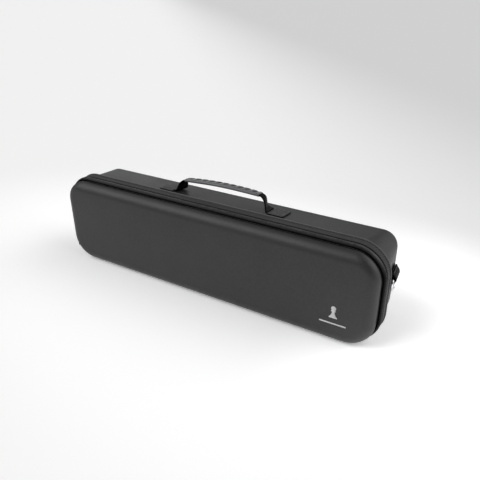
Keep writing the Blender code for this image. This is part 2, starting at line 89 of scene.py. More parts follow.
# Zip band
TAPE_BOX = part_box("body_zip_tape")
BODY_TAPE_WIDTH = TAPE_BOX[1].y - PARTING_Y
LID_TAPE_WIDTH = PARTING_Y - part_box("lid_zip_tape")[0].y
TAPE_TOP = TAPE_BOX[1].x - HALF_LENGTH
SLIT_HALF = TAPE_BOX[0].y - PARTING_Y
COIL_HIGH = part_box("body_zip_coil")[1].x - HALF_LENGTH
COIL_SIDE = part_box("body_zip_coil")[1].y - PARTING_Y + GAP
BOTTOM_RUN = 0.012
TOOTH_PITCH = 0.0013
TOOTH_LEAN = 14
# Piping: light grey bead, partly its own colour and partly a painted highlight along the body tape's rear
# edge
PIPING_RADIUS = 0.0008
PIPING_INSET = 0.0013
PIPING_V = 0.0029
# Near-black cord in the lid's groove, standing in for the shade down in it (painted shade)
CORD_U = 0.0070
CORD_HALF_WIDTH = 0.00065
CORD_TOP = -0.0006
TAPE_STITCH_INSET = 0.0031
TAPE_STITCH_V = 0.0024
TACK_BARS = 5
TACK_PITCH = 0.0006
TACK_V = 0.0029

# Slider and pull
SLIDER_LOW, SLIDER_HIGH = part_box("zip_slider")
SLIDER_Z = (SLIDER_LOW.z + SLIDER_HIGH.z) / 2
SLIDER_HALF = (SLIDER_HIGH.z - SLIDER_LOW.z) / 2
# Slider's plate: place as a share of its half length, and half width there
SLIDER_PLATE = ((-1, 0.0022), (-0.4, 0.0028), (0.2, 0.0041), (0.75, 0.0042), (1, 0.0030))
KEEL_SHARE = 0.78
BRIDGE_RISE = 0.0020
BRIDGE_FOOT = 0.0032
BRIDGE_TOP = 0.0029
PLATE_LOW = 0.00375
PLATE_HIGH = 0.00495
PULL_PIVOT_V = 0.00595
LINK_LENGTH = 0.0120
LINK_HALF_WIDTH = 0.0032
LINK_WIRE = 0.0006
TAB_LENGTH = 0.0240
TAB_HALF_WIDTH = 0.0043
TAB_HALF_THICKNESS = 0.0012
TAB_CORNER = 0.003
TAB_NECK = 0.0019
TAB_RIBS = 7
TAB_RIB_PITCH = 0.0021
EYE_RADIUS = 0.00136

# Handle
HANDLE_U = 0.032
STRAP_WIDTH = 0.0185
STRAP_NECK = 0.0095
STRAP_THICKNESS = 0.0018
STRAP_CORE = 0.0011
LEFT_TOE = 0.6
LEFT_SHIFT = 0.0014
STRAP_PLEAT = 0.00045
# One leg from its foot to the grip: place, height, width's share between neck and full, and turn
STRAP_LEG = [(0.0616, 0.0013, 1.00, 2), (0.0593, 0.0016, 0.97, 8), (0.0573, 0.0030, 0.85, 17),
             (0.0564, 0.0056, 0.68, 22), (0.0558, 0.0088, 0.50, 22), (0.0548, 0.0119, 0.30, 18),
             (0.0528, 0.0143, 0.12, 10), (0.0502, 0.0154, 0.03, 3)]
TAB_START = 0.0620
TAB_END = 0.0816
ANCHOR_TOP = 0.0013
ANCHOR_MARGIN = 0.0012
ANCHOR_CORNER = 0.0025
# Near-black cord round each anchor tab, standing in for the shadow line at its rim (painted shade)
SHADOW_CORD_RADIUS = 0.0005
SHADOW_CORD_Z = 0.0007
SEWN_BOX_INSET = 0.0020
SEWN_CROSS_INSET = 0.0035
GRIP_HALF = 0.0488
GRIP_WIDTH = 0.0124
GRIP_HEIGHT = 0.0046
GRIP_END_Z = 0.0156
GRIP_MID_Z = 0.0178
GRIP_TILT = 0.0010
GRIP_TAPER = 0.12
GRIP_SQUARENESS = 0.75
DIMPLES = 10
DIMPLE_DEPTH = 0.00125
DIMPLE_SLANT = 0.42
DIMPLE_LENGTH = 0.34
DIMPLE_WIDTH = 0.40
DIMPLE_OFFSET = 0.0014
DIMPLE_STEEPNESS = 1.8

# Shoulder-strap loops
LOOP_U = 0.037
LOOP_BAR_Z = 0.0623
LOOP_WIDTH = 0.020
LOOP_LEG = 0.0078
LOOP_THICKNESS = 0.0014
RING_WIRE = 0.0015
RING_HALF_WIDTH = 0.0125
RING_DROP = 0.0150
RING_STAND_OFF = 0.0037
RING_CORNER = 0.003
RING_CHAMFER = 0.0009

# Camera: place, direction and lens
CAMERA_PLACE = Vector((0.30189, -0.45149, 0.33458))
CAMERA_AZIMUTH = -0.544743
CAMERA_PITCH = 0.476121
CAMERA_ROLL = -0.0032836
CAMERA_LENS = 39.526

# Stitches: length, pitch and thickness
TAPE_STITCH = (0.0024, 0.0031, 0.0005)
QUILT_STITCH = (0.0024, 0.0032, 0.0005)
TAB_STITCH = (0.0019, 0.0025, 0.0006)
LOOP_STITCH = (0.0017, 0.0022, 0.0006)

# Insert and lid fittings
FOAM_EDGE = 0.0012
FOAM_BEVEL = 0.0007
FIELD_RADIUS = 0.003
PAD_PUFF = 0.0016
PAD_COLUMNS = 10
PAD_GRID = (189, 42)
SEAM_HALF = 0.0011
NET_GRID = (121, 19)
NET_PITCH = 0.0030
NET_THREAD = 0.00042
NET_SAG = 0.0012
HEM_WAVES = 90
HEM_RUFFLE = 0.0003
POCKET_SLOPE = 0.020

# Printed mark
MARK_X = 0.1600
MARK_Z = 0.0300
PAWN = ((0.0042, 0.0), (0.0042, 0.0014), (0.0030, 0.0022), (0.0016, 0.0052), (0.0013, 0.0074),
        (0.0026, 0.0078), (0.0024, 0.0088))
PAWN_HEAD = ((0, 0.0112), 0.0026)
PRINT_LOW = -0.0001
PRINT_HIGH = 0.00006

# Studio: patches of light as azimuth, height and half-width in degrees, and strength
PATCHES = [(-135, 42, 28, 4.7), (-95, 45, 28, 0.8), (-46, 13, 17, 1.45), (-22, 14, 17, 1.05),
           (0, 90, 40, 0.2), (30, 35, 35, 1.0), (70, 30, 40, 2.3)]
# Floor: light painted into its colour as a falloff, a lift where the case's shadow falls, a brightness above
# one near the case and a glow
FLOOR_LIGHT = 0.83
FLOOR_NEAR_BRIGHTNESS = 1.08
FLOOR_LIFT = 0.40
FLOOR_GLOW = 0.18
FLOOR_FRONT = -0.36
FLOOR_FRONT_FADE = 0.25
FLOOR_FRONT_DARK = 0.6
FLOOR_TONE = 0.989
FLOOR_FALL = (0.742, 0.670, 0)
FLOOR_FALL_RANGE = (0.068, 0.871)
FLOOR_FALL_DEPTH = 0.249
FLOOR_RING_PLACE = (0.15, -0.10, 0)
FLOOR_RING_RADIUS = 0.438
FLOOR_RING_DEPTH = 0.113
NEAR_STRETCH = (0.55, 1, 1)
NEAR_RANGE = (0.10, 0.34)
LIFT_X = (0.10, 0.22)
LIFT_Y = (-0.16, -0.04)


# ---- materials

class Nodes:
    """Shader nodes of one tree, each added by a call."""

    def __init__(self, tree):
        self.tree = tree

    def add(self, kind, inputs=None, **settings):
        node = self.tree.nodes.new("ShaderNode" + kind)
        for setting, value in settings.items():
            setattr(node, setting, value)
        for socket, value in (inputs or {}).items():
            if isinstance(value, bpy.types.NodeSocket):
                self.tree.links.new(value, node.inputs[socket])
            else:
                node.inputs[socket].default_value = value
        return node

    def math(self, operation, a, b):
        return self.add("Math", {0: a, 1: b}, operation=operation).outputs[0]

    def dot(self, a, b):
        return self.add("VectorMath", {0: a, 1: b}, operation="DOT_PRODUCT").outputs["Value"]

    def fade(self, value, start, end, most=1.0):
        """Rises softly from 0 to most between two values."""
        spread = {"Value": value, "From Min": start, "From Max": end, "To Max": most}
        return self.add("MapRange", spread, interpolation_type="SMOOTHSTEP").outputs[0]


class Finish(Nodes):
    """Principled material whose colour, roughness and relief come from procedural textures."""

    def __init__(self, name, roughness, metallic=0.0, uv=False, **constants):
        self.material = bpy.data.materials.new(name)
        self.material.use_nodes = True
        super().__init__(self.material.node_tree)
        self.shader = self.tree.nodes["Principled BSDF"]
        self.shader.inputs["Roughness"].default_value = roughness
        self.shader.inputs["Metallic"].default_value = metallic
        for socket, value in constants.items():
            self.shader.inputs[socket.replace("_", " ")].default_value = value
        self.place = self.add("TexCoord").outputs["UV" if uv else "Object"]
        self.relief = None

    def turned(self, degrees):
        """Coordinates turned about the third axis, for slanted threads."""
        angle = (0, 0, math.radians(degrees))
        return self.add("Mapping", {"Vector": self.place, "Rotation": angle}).outputs[0]

    def noise(self, scale, detail):
        inputs = {"Vector": self.place, "Scale": scale, "Detail": detail}
        return self.add("TexNoise", inputs).outputs[0]

    def cells(self, scale, feature="F1"):
        inputs = {"Vector": self.place, "Scale": scale}
        return self.add("TexVoronoi", inputs, feature=feature).outputs["Distance"]

    def bands(self, pitch, direction, vector=None):
        """Even ribs, one every pitch metres."""
        inputs = {"Vector": vector or self.place, "Scale": math.pi / (10 * pitch)}
        return self.add("TexWave", inputs, bands_direction=direction).outputs["Fac"]

    def ramp(self, axis, start, end, low=0.0):
        """Runs from low to 1 between two places along one of the case's axes."""
        place = self.add("TexCoord").outputs["Object"]
        along = self.add("SeparateXYZ", {"Vector": place}).outputs[axis]
        inputs = {"Value": along, "From Min": start, "From Max": end, "To Min": low}
        return self.add("MapRange", inputs).outputs[0]

    def colour(self, factor, dark, light):
        inputs = {"Fac": factor, "Color1": (*dark, 1.0), "Color2": (*light, 1.0)}
        mixed = self.add("MixRGB", inputs).outputs[0]
        self.tree.links.new(mixed, self.shader.inputs["Base Color"])

    def wear(self, factor, low, high):
        spread = {"Value": factor, "To Min": low, "To Max": high}
        made = self.add("MapRange", spread).outputs[0]
        self.tree.links.new(made, self.shader.inputs["Roughness"])

    def emboss(self, height, distance, strength):
        inputs = {"Height": height, "Distance": distance, "Strength": strength}
        if self.relief:
            inputs["Normal"] = self.relief
        self.relief = self.add("Bump", inputs).outputs[0]
        self.tree.links.new(self.relief, self.shader.inputs["Normal"])


def grained_skin():
    """Fine-grained black laminate of the moulded shells."""
    skin = Finish("grained_skin", 0.55, Specular_IOR_Level=0.5)
    grain = skin.cells(1500, "SMOOTH_F1")
    fine = skin.noise(2600, 2.0)
    pebble = skin.noise(620, 2.0)
    soft = skin.noise(22, 2.0)
    tone = skin.math("ADD", skin.math("MULTIPLY", pebble, 0.7), skin.math("MULTIPLY", grain, 0.3))
    skin.colour(tone, (0.0100, 0.0100, 0.0107), (0.0340, 0.0340, 0.0357))
    skin.wear(soft, 0.44, 0.58)
    skin.emboss(skin.noise(16, 1.0), 0.0012, 0.30)
    skin.emboss(pebble, 0.00020, 0.6)
    skin.emboss(skin.math("MULTIPLY", grain, fine), 0.00014, 0.9)
    return skin.material


def lid_tape():
    """Smooth satin binding over the lid's coil, dull beside the groove. Its colour carries painted light: a
    painted highlight along its crown on the case's top, and painted shade beside the groove, at the slit and
    lower down the case's ends.
    """
    tape = Finish("lid_tape", 0.5, uv=True)
    threads = tape.bands(0.0005, "X")
    fold = tape.noise(300, 2.0)
    # Painted light on the crown: dark beside the groove, bright towards the slit
    crown = tape.ramp("Y", PARTING_Y - LID_TAPE_WIDTH + 0.0004, PARTING_Y - 0.0024)
    # Painted shade down at the slit's edge
    slit_shade = tape.ramp("Y", PARTING_Y - 0.0004, PARTING_Y - 0.0017)
    # Painted shade: the band dims to a quarter below the top, so the case's ends and bottom read as unlit
    wear_and_shade = tape.ramp("Z", CASE_HEIGHT - 0.022, CASE_HEIGHT - 0.004, 0.25)
    crown = tape.math("MULTIPLY", tape.math("MULTIPLY", crown, slit_shade), wear_and_shade)
    tape.colour(tape.math("MULTIPLY", crown, fold), (0.002, 0.002, 0.002), (0.100, 0.096, 0.096))
    # The specular level follows the same painted light mask
    gloss = tape.math("MULTIPLY", crown, 0.5)
    tape.tree.links.new(gloss, tape.shader.inputs["Specular IOR Level"])
    tape.wear(fold, 0.42, 0.58)
    tape.emboss(fold, 0.0004, 0.25)
    tape.emboss(threads, 0.00005, 0.4)
    return tape.material


def body_tape():
    """Twilled binding over the body's coil, with painted shade towards the slit."""
    tape = Finish("body_tape", 0.7, uv=True, Specular_IOR_Level=0.3)
    slant = tape.turned(38)
    ribs = tape.bands(0.0022, "X", slant)
    threads = tape.bands(0.0007, "X", slant)
    blotch = tape.noise(500, 3.0)
    # Painted shade: the tape darkens towards the slit
    slit_shade = tape.ramp("Y", PARTING_Y + 0.0004, PARTING_Y + 0.0022)
    cloth = tape.math("MULTIPLY", ribs, blotch)
    tone = tape.math("MULTIPLY", tape.math("ADD", cloth, 0.2), slit_shade)
    tape.colour(tone, (0.004, 0.004, 0.004), (0.088, 0.085, 0.085))
    tape.wear(blotch, 0.6, 0.82)
    tape.emboss(ribs, 0.0003, 0.5)
    tape.emboss(threads, 0.0001, 0.6)
    return tape.material


def woven(name, dark, light, pitch, slant, roughness, depth, sheen, specular):
    """Plain weave whose threads cross at right angles."""
    cloth = Finish(name, 0.7, uv=True, Specular_IOR_Level=specular, Sheen_Weight=sheen)
    place = cloth.turned(slant)
    along = cloth.bands(pitch, "X", place)
    across = cloth.bands(pitch, "Y", place)
    weave = cloth.math("MULTIPLY", along, across)
    fuzz = cloth.noise(900, 3.0)
    tone = cloth.math("ADD", cloth.math("MULTIPLY", weave, 0.6), cloth.math("MULTIPLY", fuzz, 0.4))
    cloth.colour(tone, dark, light)
    cloth.wear(fuzz, *roughness)
    cloth.emboss(weave, depth, 0.7)
    cloth.emboss(fuzz, depth / 2, 0.4)
    return cloth.material


def moulded(name, dark, light, roughness):
    """Moulded rubber or plastic with a fine matte surface."""
    plastic = Finish(name, sum(roughness) / 2, Specular_IOR_Level=0.5)
    cloud = plastic.noise(120, 4.0)
    plastic.colour(cloud, dark, light)
    plastic.wear(plastic.noise(400, 3.0), *roughness)
    plastic.emboss(plastic.noise(3500, 2.0), 0.00004, 0.5)
    return plastic.material


def grip_rubber():
    """Satin rubber, with painted shade down in the dimples."""
    rubber = Finish("grip_rubber", 0.4, Specular_IOR_Level=0.5)
    dimple_shade = rubber.add("Attribute", attribute_name="dimple_shade").outputs["Fac"]
    cloud = rubber.math("MULTIPLY", rubber.noise(150, 3.0), 0.25)
    # Painted shade: darker the deeper the dimple
    rubber.colour(rubber.math("ADD", dimple_shade, cloud), (0.155, 0.155, 0.160), (0.006, 0.006, 0.006))
    rubber.wear(rubber.noise(500, 3.0), 0.30, 0.46)
    rubber.emboss(rubber.noise(3000, 2.0), 0.00004, 0.5)
    return rubber.material


def metal(name, dark, light, roughness):
    """Plated metal with fine scratches and worn spots."""
    plate = Finish(name, sum(roughness) / 2, 1.0)
    wear_and_shade = plate.noise(260, 4.0)
    plate.colour(wear_and_shade, dark, light)
    plate.wear(plate.noise(900, 5.0), *roughness)
    plate.emboss(plate.noise(2200, 3.0), 0.00002, 0.4)
    return plate.material


def foam():
    """Open-cell foam: pores over faint clouds of grey."""
    sponge = Finish("foam", 0.95, Specular_IOR_Level=0.2)
    pores = sponge.cells(1100)
    cloud = sponge.noise(90, 4.0)
    tone = sponge.math("MULTIPLY", sponge.math("ADD", pores, 0.35), cloud)
    sponge.colour(tone, (0.010, 0.010, 0.011), (0.090, 0.090, 0.096))
    sponge.wear(pores, 0.85, 1.0)
    sponge.emboss(pores, 0.0005, 0.8)
    sponge.emboss(cloud, 0.0006, 0.4)
    return sponge.material


def printed():
    """Pale print of the mark, slightly worn."""
    ink = Finish("print", 0.5)
    worn = ink.noise(1800, 4.0)
    ink.colour(worn, (0.42, 0.42, 0.43), (0.80, 0.80, 0.80))
    ink.wear(worn, 0.4, 0.6)
    ink.emboss(worn, 0.00003, 0.4)
    return ink.material


# ---- mesh helpers

def lengths(points, closed=False):
    """Running length at each point, and round to the first again if closed."""
    steps = np.linalg.norm(np.diff(points, axis=0), axis=1)
    if closed:
        steps = np.append(steps, np.linalg.norm(points[0] - points[-1]))
    return np.concatenate([[0.0], np.cumsum(steps)])


def skin(name, rings, loop=False, closed=True):
    """Quads over equal rings, with a UV map in metres: along the piece, and round each ring."""
    rings = np.array([[tuple(p) for p in ring] for ring in rings], float)
    count, size = rings.shape[:2]
    middle = rings.mean(axis=1)
    along = lengths(middle, loop) if np.ptp(middle, axis=0).max() > 1e-4 else lengths(rings[:, 0], loop)
    around = np.mean([lengths(ring, closed) for ring in (rings[0], rings[count // 2], rings[-1])], axis=0)
    faces, uvs = [], []
    for i in range(count if loop else count - 1):
        far = (i + 1) % count
        for j in range(size if closed else size - 1):
            side = (j + 1) % size
            faces.append((i * size + j, i * size + side, far * size + side, far * size + j))
            uvs += [(along[i], around[j]), (along[i], around[j + 1]),
                    (along[i + 1], around[j + 1]), (along[i + 1], around[j])]
    if closed and not loop:
        for ring in (0, count - 1):
            faces.append(tuple(ring * size + j for j in range(size)))
            uvs += [(along[ring], around[j]) for j in range(size)]
    mesh = bpy.data.meshes.new(name)
    mesh.from_pydata(rings.reshape(-1, 3).tolist(), [], faces)
    layer = mesh.uv_layers.new(name="flow")
    layer.data.foreach_set("uv", np.array(uvs, np.float32).ravel())
    if closed:
        bm = bmesh.new()
        bm.from_mesh(mesh)
        bmesh.ops.recalc_face_normals(bm, faces=bm.faces)
        bm.to_mesh(mesh)
        bm.free()
    return mesh


def baked(name, bm):
    """Mesh made of a bmesh, which is freed."""
    mesh = bpy.data.meshes.new(name)
    bm.to_mesh(mesh)
    bm.free()
    return mesh


def joined(name, meshes):
    """One mesh out of several."""
    bm = bmesh.new()
    for mesh in meshes:
        bm.from_mesh(mesh)
    return baked(name, bm)


def repeated(name, unit, places):
    """One mesh with a copy of unit at each of the 4 x 4 places."""
    points = np.array([tuple(v.co) for v in unit.vertices])
    faces = [tuple(p.vertices) for p in unit.polygons]
    matrices = np.array([[tuple(row) for row in place] for place in places])
    spread = np.einsum("kij,nj->kni", matrices[:, :3, :3], points) + matrices[:, None, :3, 3]
    every = [tuple(v + k * len(points) for v in face) for k in range(len(places)) for face in faces]
    mesh = bpy.data.meshes.new(name)
    mesh.from_pydata(spread.reshape(-1, 3).tolist(), [], every)
    mesh.uv_layers.new(name="flow")
    return mesh


def pillow(size, bevel=0.45, segments=3):
    """Box of this size with well rounded edges, about the origin."""
    bm = bmesh.new()
    bmesh.ops.create_cube(bm, size=1.0)
    bmesh.ops.scale(bm, vec=size, verts=bm.verts)
    bmesh.ops.bevel(bm, geom=bm.edges[:], offset=min(size) * bevel, segments=segments,
                    profile=0.5, affect="EDGES")
    return baked("pillow", bm)


def slab(name, outline, low, high, place, bevel, segments=3):
    """Flat outline made solid between two heights, its rims rounded; place(a, b, c) gives x, y, z."""
    bm = bmesh.new()
    for height in (low, high):
        bm.faces.new([bm.verts.new(place(a, b, height)) for a, b in outline])
    bm.verts.ensure_lookup_table()
    size = len(outline)
    for i in range(size):
        j = (i + 1) % size
        bm.faces.new([bm.verts[k] for k in (i, j, j + size, i + size)])
    bmesh.ops.recalc_face_normals(bm, faces=bm.faces)
    rims = [e for e in bm.edges if len({v.index // size for v in e.verts}) == 1]
    bmesh.ops.bevel(bm, geom=rims, offset=bevel, segments=segments, profile=0.6, affect="EDGES",
                    clamp_overlap=True)
    mesh = baked(name, bm)
    mesh.uv_layers.new(name="flow")
    return mesh


def smooth(points, rounds=2, closed=False):
    """Rounds off a line of points by cutting its corners."""
    points = [Vector(p) for p in points]
    for _ in range(rounds):
        pairs = list(zip(points, points[1:] + ([points[0]] if closed else [])))
        cut = [p for a, b in pairs for p in (a.lerp(b, 0.25), a.lerp(b, 0.75))]
        points = cut if closed else [points[0]] + cut[1:-1] + [points[-1]]
    return points


def sweep(name, path, up, profile, closed=False):
    """Carries a (side, up) profile along a path. The side is across both the path and up."""
    up = Vector(up)
    count = len(path)
    rings = []
    for i, point in enumerate(path):
        before = path[(i - 1) % count] if closed or i else path[i]
        after = path[(i + 1) % count] if closed or i < count - 1 else path[i]
        side = (after - before).normalized().cross(up).normalized()
        rings.append([point + side * a + up * b for a, b in profile])
    return skin(name, rings, loop=closed)


def arc(centre, radius, start, end, steps):
    """Points (a, b) on a circle, from start to end degrees."""
    angles = [math.radians(start + (end - start) * i / steps) for i in range(steps + 1)]
    return [(centre[0] + radius * math.cos(t), centre[1] + radius * math.sin(t)) for t in angles]


def circle(radius, steps=16):
    return arc((0, 0), radius, 0, 360 - 360 / steps, steps - 1)


def rounded(half_length, low, high, low_radius, high_radius, steps):
    """Rounded rectangle as (x, z) points, symmetric in x."""
    right, left = half_length, -half_length
    return (
        arc((right - low_radius, low + low_radius), low_radius, -90, 0, steps)
        + arc((right - high_radius, high - high_radius), high_radius, 0, 90, steps)
        + arc((left + high_radius, high - high_radius), high_radius, 90, 180, steps)
        + arc((left + low_radius, low + low_radius), low_radius, 180, 270, steps)
    )


def ribbon(half_width, half_thickness):
    """Cross-section of webbing: flat, with rounded edges."""
    r = half_thickness * 0.9
    return rounded(half_width, -half_thickness, half_thickness, r, r, 3)


def piece(name, mesh, finish, body, replaces=(), sharp=40):
    """Adds a finished piece that rides on a body and stands for CAD nodes."""
    obj = bpy.data.objects.new(name, mesh)
    bpy.context.scene.collection.objects.link(obj)
    mesh.materials.clear()
    mesh.materials.append(FINISHES[finish])
    mesh.shade_smooth()
    mesh.set_sharp_from_angle(angle=math.radians(sharp))
    if body:
        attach(obj, body)
    if replaces:
        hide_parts(*replaces)
    return obj


def stitches(name, path, outward, size, finish, body, closed=False, lift=0.0):
    """Row of thread stitches along a line of points; outward(i) is the way they stand up."""
    length, pitch, width = size
    points = np.array([tuple(p) for p in path])
    run = lengths(points, closed)
    if closed:
        points = np.vstack([points, points[:1]])
    count = max(int(run[-1] / pitch), 1)
    places = []
    for k in range(count):
        here = run[-1] * (k + 0.5) / count
        i = min(int(np.searchsorted(run, here) - 1), len(points) - 2)
        share = (here - run[i]) / max(run[i + 1] - run[i], 1e-9)
        at = Vector(points[i] + (points[i + 1] - points[i]) * share)
        along = Vector(points[i + 1] - points[i]).normalized()
        up = Vector(outward(i % len(path))).normalized()
        side = up.cross(along).normalized()
        up = along.cross(side)
        places.append(Matrix.Translation(at + up * lift) @ Matrix((along, side, up)).transposed().to_4x4())
    unit = pillow((length, width, width * 0.75), 0.42, 2)
    return piece(name, repeated(name, unit, places), finish, body, sharp=80)


# ---- stage

def camera_frame():
    forward = Vector((math.sin(CAMERA_AZIMUTH) * math.cos(CAMERA_PITCH),
                      math.cos(CAMERA_AZIMUTH) * math.cos(CAMERA_PITCH), -math.sin(CAMERA_PITCH)))
    right = Vector((math.cos(CAMERA_AZIMUTH), -math.sin(CAMERA_AZIMUTH), 0))
    up = right.cross(forward)
    right, up = (right * math.cos(CAMERA_ROLL) + up * math.sin(CAMERA_ROLL),
                 up * math.cos(CAMERA_ROLL) - right * math.sin(CAMERA_ROLL))
    return Matrix((right, up, -forward)).transposed().to_4x4()


def add_camera():
    lens = bpy.data.cameras.new("camera")
    lens.lens = CAMERA_LENS
    lens.clip_start = 0.01
    camera = bpy.data.objects.new("camera", lens)
    bpy.context.scene.collection.objects.link(camera)
    camera.matrix_world = Matrix.Translation(CAMERA_PLACE) @ camera_frame()
    bpy.context.scene.camera = camera


def add_floor():
    """Wide pale floor whose colour carries painted light: bright round the case, and darker towards the far
    right.
    """
    bpy.ops.mesh.primitive_circle_add(vertices=96, radius=14, fill_type="NGON", location=(0, 0, 0))
    floor = bpy.context.object
    floor.name = "floor"
    paper = Finish("paper", 0.9, Specular_IOR_Level=0.05)

    def distance(centre, stretch):
        offset = paper.add("VectorMath", {0: paper.place, 1: centre}, operation="SUBTRACT").outputs[0]
        scaled = paper.add("VectorMath", {0: offset, 1: stretch}, operation="MULTIPLY").outputs[0]
        return paper.add("VectorMath", {0: scaled}, operation="LENGTH").outputs["Value"]

    # Painted falloff of light: darker towards the far right and further out from the case
    falls = paper.fade(paper.dot(paper.place, FLOOR_FALL), *FLOOR_FALL_RANGE, FLOOR_FALL_DEPTH)
    rings = paper.fade(distance(FLOOR_RING_PLACE, (1, 1, 1)), 0.0, FLOOR_RING_RADIUS, FLOOR_RING_DEPTH)
    tone = paper.math("SUBTRACT", paper.math("SUBTRACT", FLOOR_TONE, falls), rings)
    tone = paper.math("DIVIDE", paper.math("SUBTRACT", tone, FLOOR_GLOW), FLOOR_LIGHT)
    # Painted light near the case: a brightness above one, lifted further behind and right of the case where
    # its shadow falls
    near = paper.fade(distance((0, 0, 0), NEAR_STRETCH), *NEAR_RANGE)
    shaded = paper.math("MULTIPLY", paper.ramp("X", *LIFT_X), paper.ramp("Y", *LIFT_Y))
    lit = paper.math("ADD", paper.math("MULTIPLY", shaded, FLOOR_LIFT), FLOOR_NEAR_BRIGHTNESS)
    mixed = paper.add("Mix", {"Factor": near, "A": lit, "B": tone}).outputs[0]
    # Darker out of view in front of the case, which dims the floor's light on the case's face
    front = paper.ramp("Y", FLOOR_FRONT - FLOOR_FRONT_FADE, FLOOR_FRONT, FLOOR_FRONT_DARK)
    mixed = paper.math("MULTIPLY", mixed, front)
    grey = paper.add("CombineColor", {0: mixed, 1: mixed, 2: mixed}).outputs[0]
    paper.tree.links.new(grey, paper.shader.inputs["Base Color"])
    # Painted light: the floor glows a little, which lightens the case's contact shadow
    paper.shader.inputs["Emission Color"].default_value = (1, 1, 1, 1)
    paper.shader.inputs["Emission Strength"].default_value = FLOOR_GLOW
    floor.data.materials.append(paper.material)


def add_lights():
    """World made of soft patches of light."""
    world = bpy.data.worlds.new("studio")
    bpy.context.scene.world = world
    world.use_nodes = True
    sky = Nodes(world.node_tree)
    where = sky.add("TexCoord").outputs["Generated"]
    total = 0.0
    for azimuth, height, width, strength in PATCHES:
        a, h = math.radians(azimuth), math.radians(height)
        toward = (math.sin(a) * math.cos(h), math.cos(a) * math.cos(h), math.sin(h))
        patch = sky.fade(sky.dot(where, toward), math.cos(math.radians(width)), 1.0, strength)
        total = sky.math("ADD", total, patch)
    background = sky.tree.nodes["Background"]
    sky.tree.links.new(total, background.inputs["Strength"])
    background.inputs["Color"].default_value = (1, 1, 1, 1)
    bpy.context.scene.view_settings.view_transform = "Standard"


# ---- moulded shells

def section(shell, u, inset, low_lift=0.0):
    """Ring of a shell's wall at u, inset from its skin, with its bottom raised by low_lift."""
    straight_end = shell.depth - shell.fillet
    drafted = shell.draft * max(min(u, straight_end) - DRAFT_START, 0.0)
    bend = shell.fillet - inset
    past = min(max(u - straight_end, 0.0), bend)
    loss = inset + bend - math.sqrt(max(bend ** 2 - past ** 2, 0.0))
    shrink = drafted + loss
    share = min(max((u - DRAFT_START) / (shell.depth - DRAFT_START), 0.0), 1.0)
    high_radius = RIM_RADIUS + (shell.face_radius - RIM_RADIUS) * share - loss
    low_radius = RIM_RADIUS + (shell.face_low_radius - RIM_RADIUS) * share - loss
    outline = rounded(HALF_LENGTH - shrink, low_lift + loss, CASE_HEIGHT - shrink,
                      low_radius, high_radius, CORNER_STEPS)
    return [Vector((x, PARTING_Y + shell.side * u, z)) for x, z in outline]


def fillet_rings(shell, inset, start_u=None, steps=FILLET_STEPS):
    straight_end = shell.depth - shell.fillet
    bend = shell.fillet - inset
    first = 0.0 if start_u is None else math.asin((start_u - straight_end) / bend)
    angles = [first + (math.pi / 2 - first) * i / steps for i in range(steps + 1)]
    return [section(shell, straight_end + bend * math.sin(t), inset) for t in angles]


def face_rings(ring, shell, crown):
    """Rings that close a shell's face, rising by crown to its middle."""
    low = Vector((min(p.x for p in ring), ring[0].y, min(p.z for p in ring)))
    high = Vector((max(p.x for p in ring), ring[0].y, max(p.z for p in ring)))
    centre = (low + high) / 2
    made = []
    for keep in (0.985, 0.96, 0.92, 0.86, 0.78, 0.66, 0.5, 0.32, 0.12):
        rise = Vector((0, shell.side * crown * (1 - keep ** 2), 0))
        made.append([centre + (p - centre) * keep + rise for p in ring])
    return made


def lid_skin():
    rim = [section(LID, u, 0.0, RECESS) for u in LID_RIM]
    groove = [section(LID, u, GROOVE_DEPTH * share, RECESS) for u, share in GROOVE]
    return shell_mesh("lid_skin", LID, rim + groove + fillet_rings(LID, 0.0, start_u=LID_SKIN_BEND_U))


def body_skin():
    rim = [section(BODY, u, 0.0, RECESS) for u in (RIM_U, 0.0080, BODY_RECESS_U)]
    step = BODY_FULL_U - BODY_RECESS_U
    rise = [section(BODY, BODY_RECESS_U + step * t, 0.0, RECESS * (1 - t * t * (3 - 2 * t)))
            for t in (0.25, 0.5, 0.75)]
    wall = [section(BODY, u, 0.0) for u in (BODY_FULL_U, 0.022, 0.032, 0.044)]
    return shell_mesh("body_skin", BODY, rim + rise + wall + fillet_rings(BODY, 0.0))


def raised_rim(inset):
    """Rings where the body's bottom comes down from the rim's height to the floor."""
    back = inset * RIM_STEP_SHIFT
    return [section(BODY, BODY_RECESS_U + back, inset, RECESS), section(BODY, BODY_FULL_U + back, inset)]


def inside_rings(shell, inset):
    """Rings of a shell's inner side, or of its lining, at this inset."""
    rim = [section(shell, RIM_U, inset, RECESS)]
    if shell is BODY:
        return rim + raised_rim(inset) + fillet_rings(shell, inset, steps=8)
    rim.append(section(LID, GROOVE_END_U, inset, RECESS))
    return rim + fillet_rings(shell, inset, start_u=LID_BEND_U, steps=8)


def shell_mesh(name, shell, outer):
    inner = inside_rings(shell, WALL)
    front = face_rings(outer[-1], shell, CROWN)
    back = face_rings(inner[-1], shell, 0.0)
    return skin(name, front[::-1] + outer[::-1] + inner + back)


def lining(name, shell, body):
    outer = inside_rings(shell, WALL + GAP)
    inner = inside_rings(shell, WALL + GAP + LINING)
    front, back = face_rings(outer[-1], shell, 0.0), face_rings(inner[-1], shell, 0.0)
    mesh = skin(name, front[::-1] + outer[::-1] + inner + back)
    made = piece(name + "_cloth", mesh, "lining", body, [name])
    area = sum(p.area for p in mesh.polygons) / 2


def shells():
    piece("body_skin", body_skin(), "skin", "case", ["body_shell"], sharp=60)
    piece("lid_skin", lid_skin(), "skin", "lid", ["lid_shell"], sharp=60)
    lining("body_lining", BODY, "case")
    lining("lid_lining", LID, "lid")


# ---- zip band

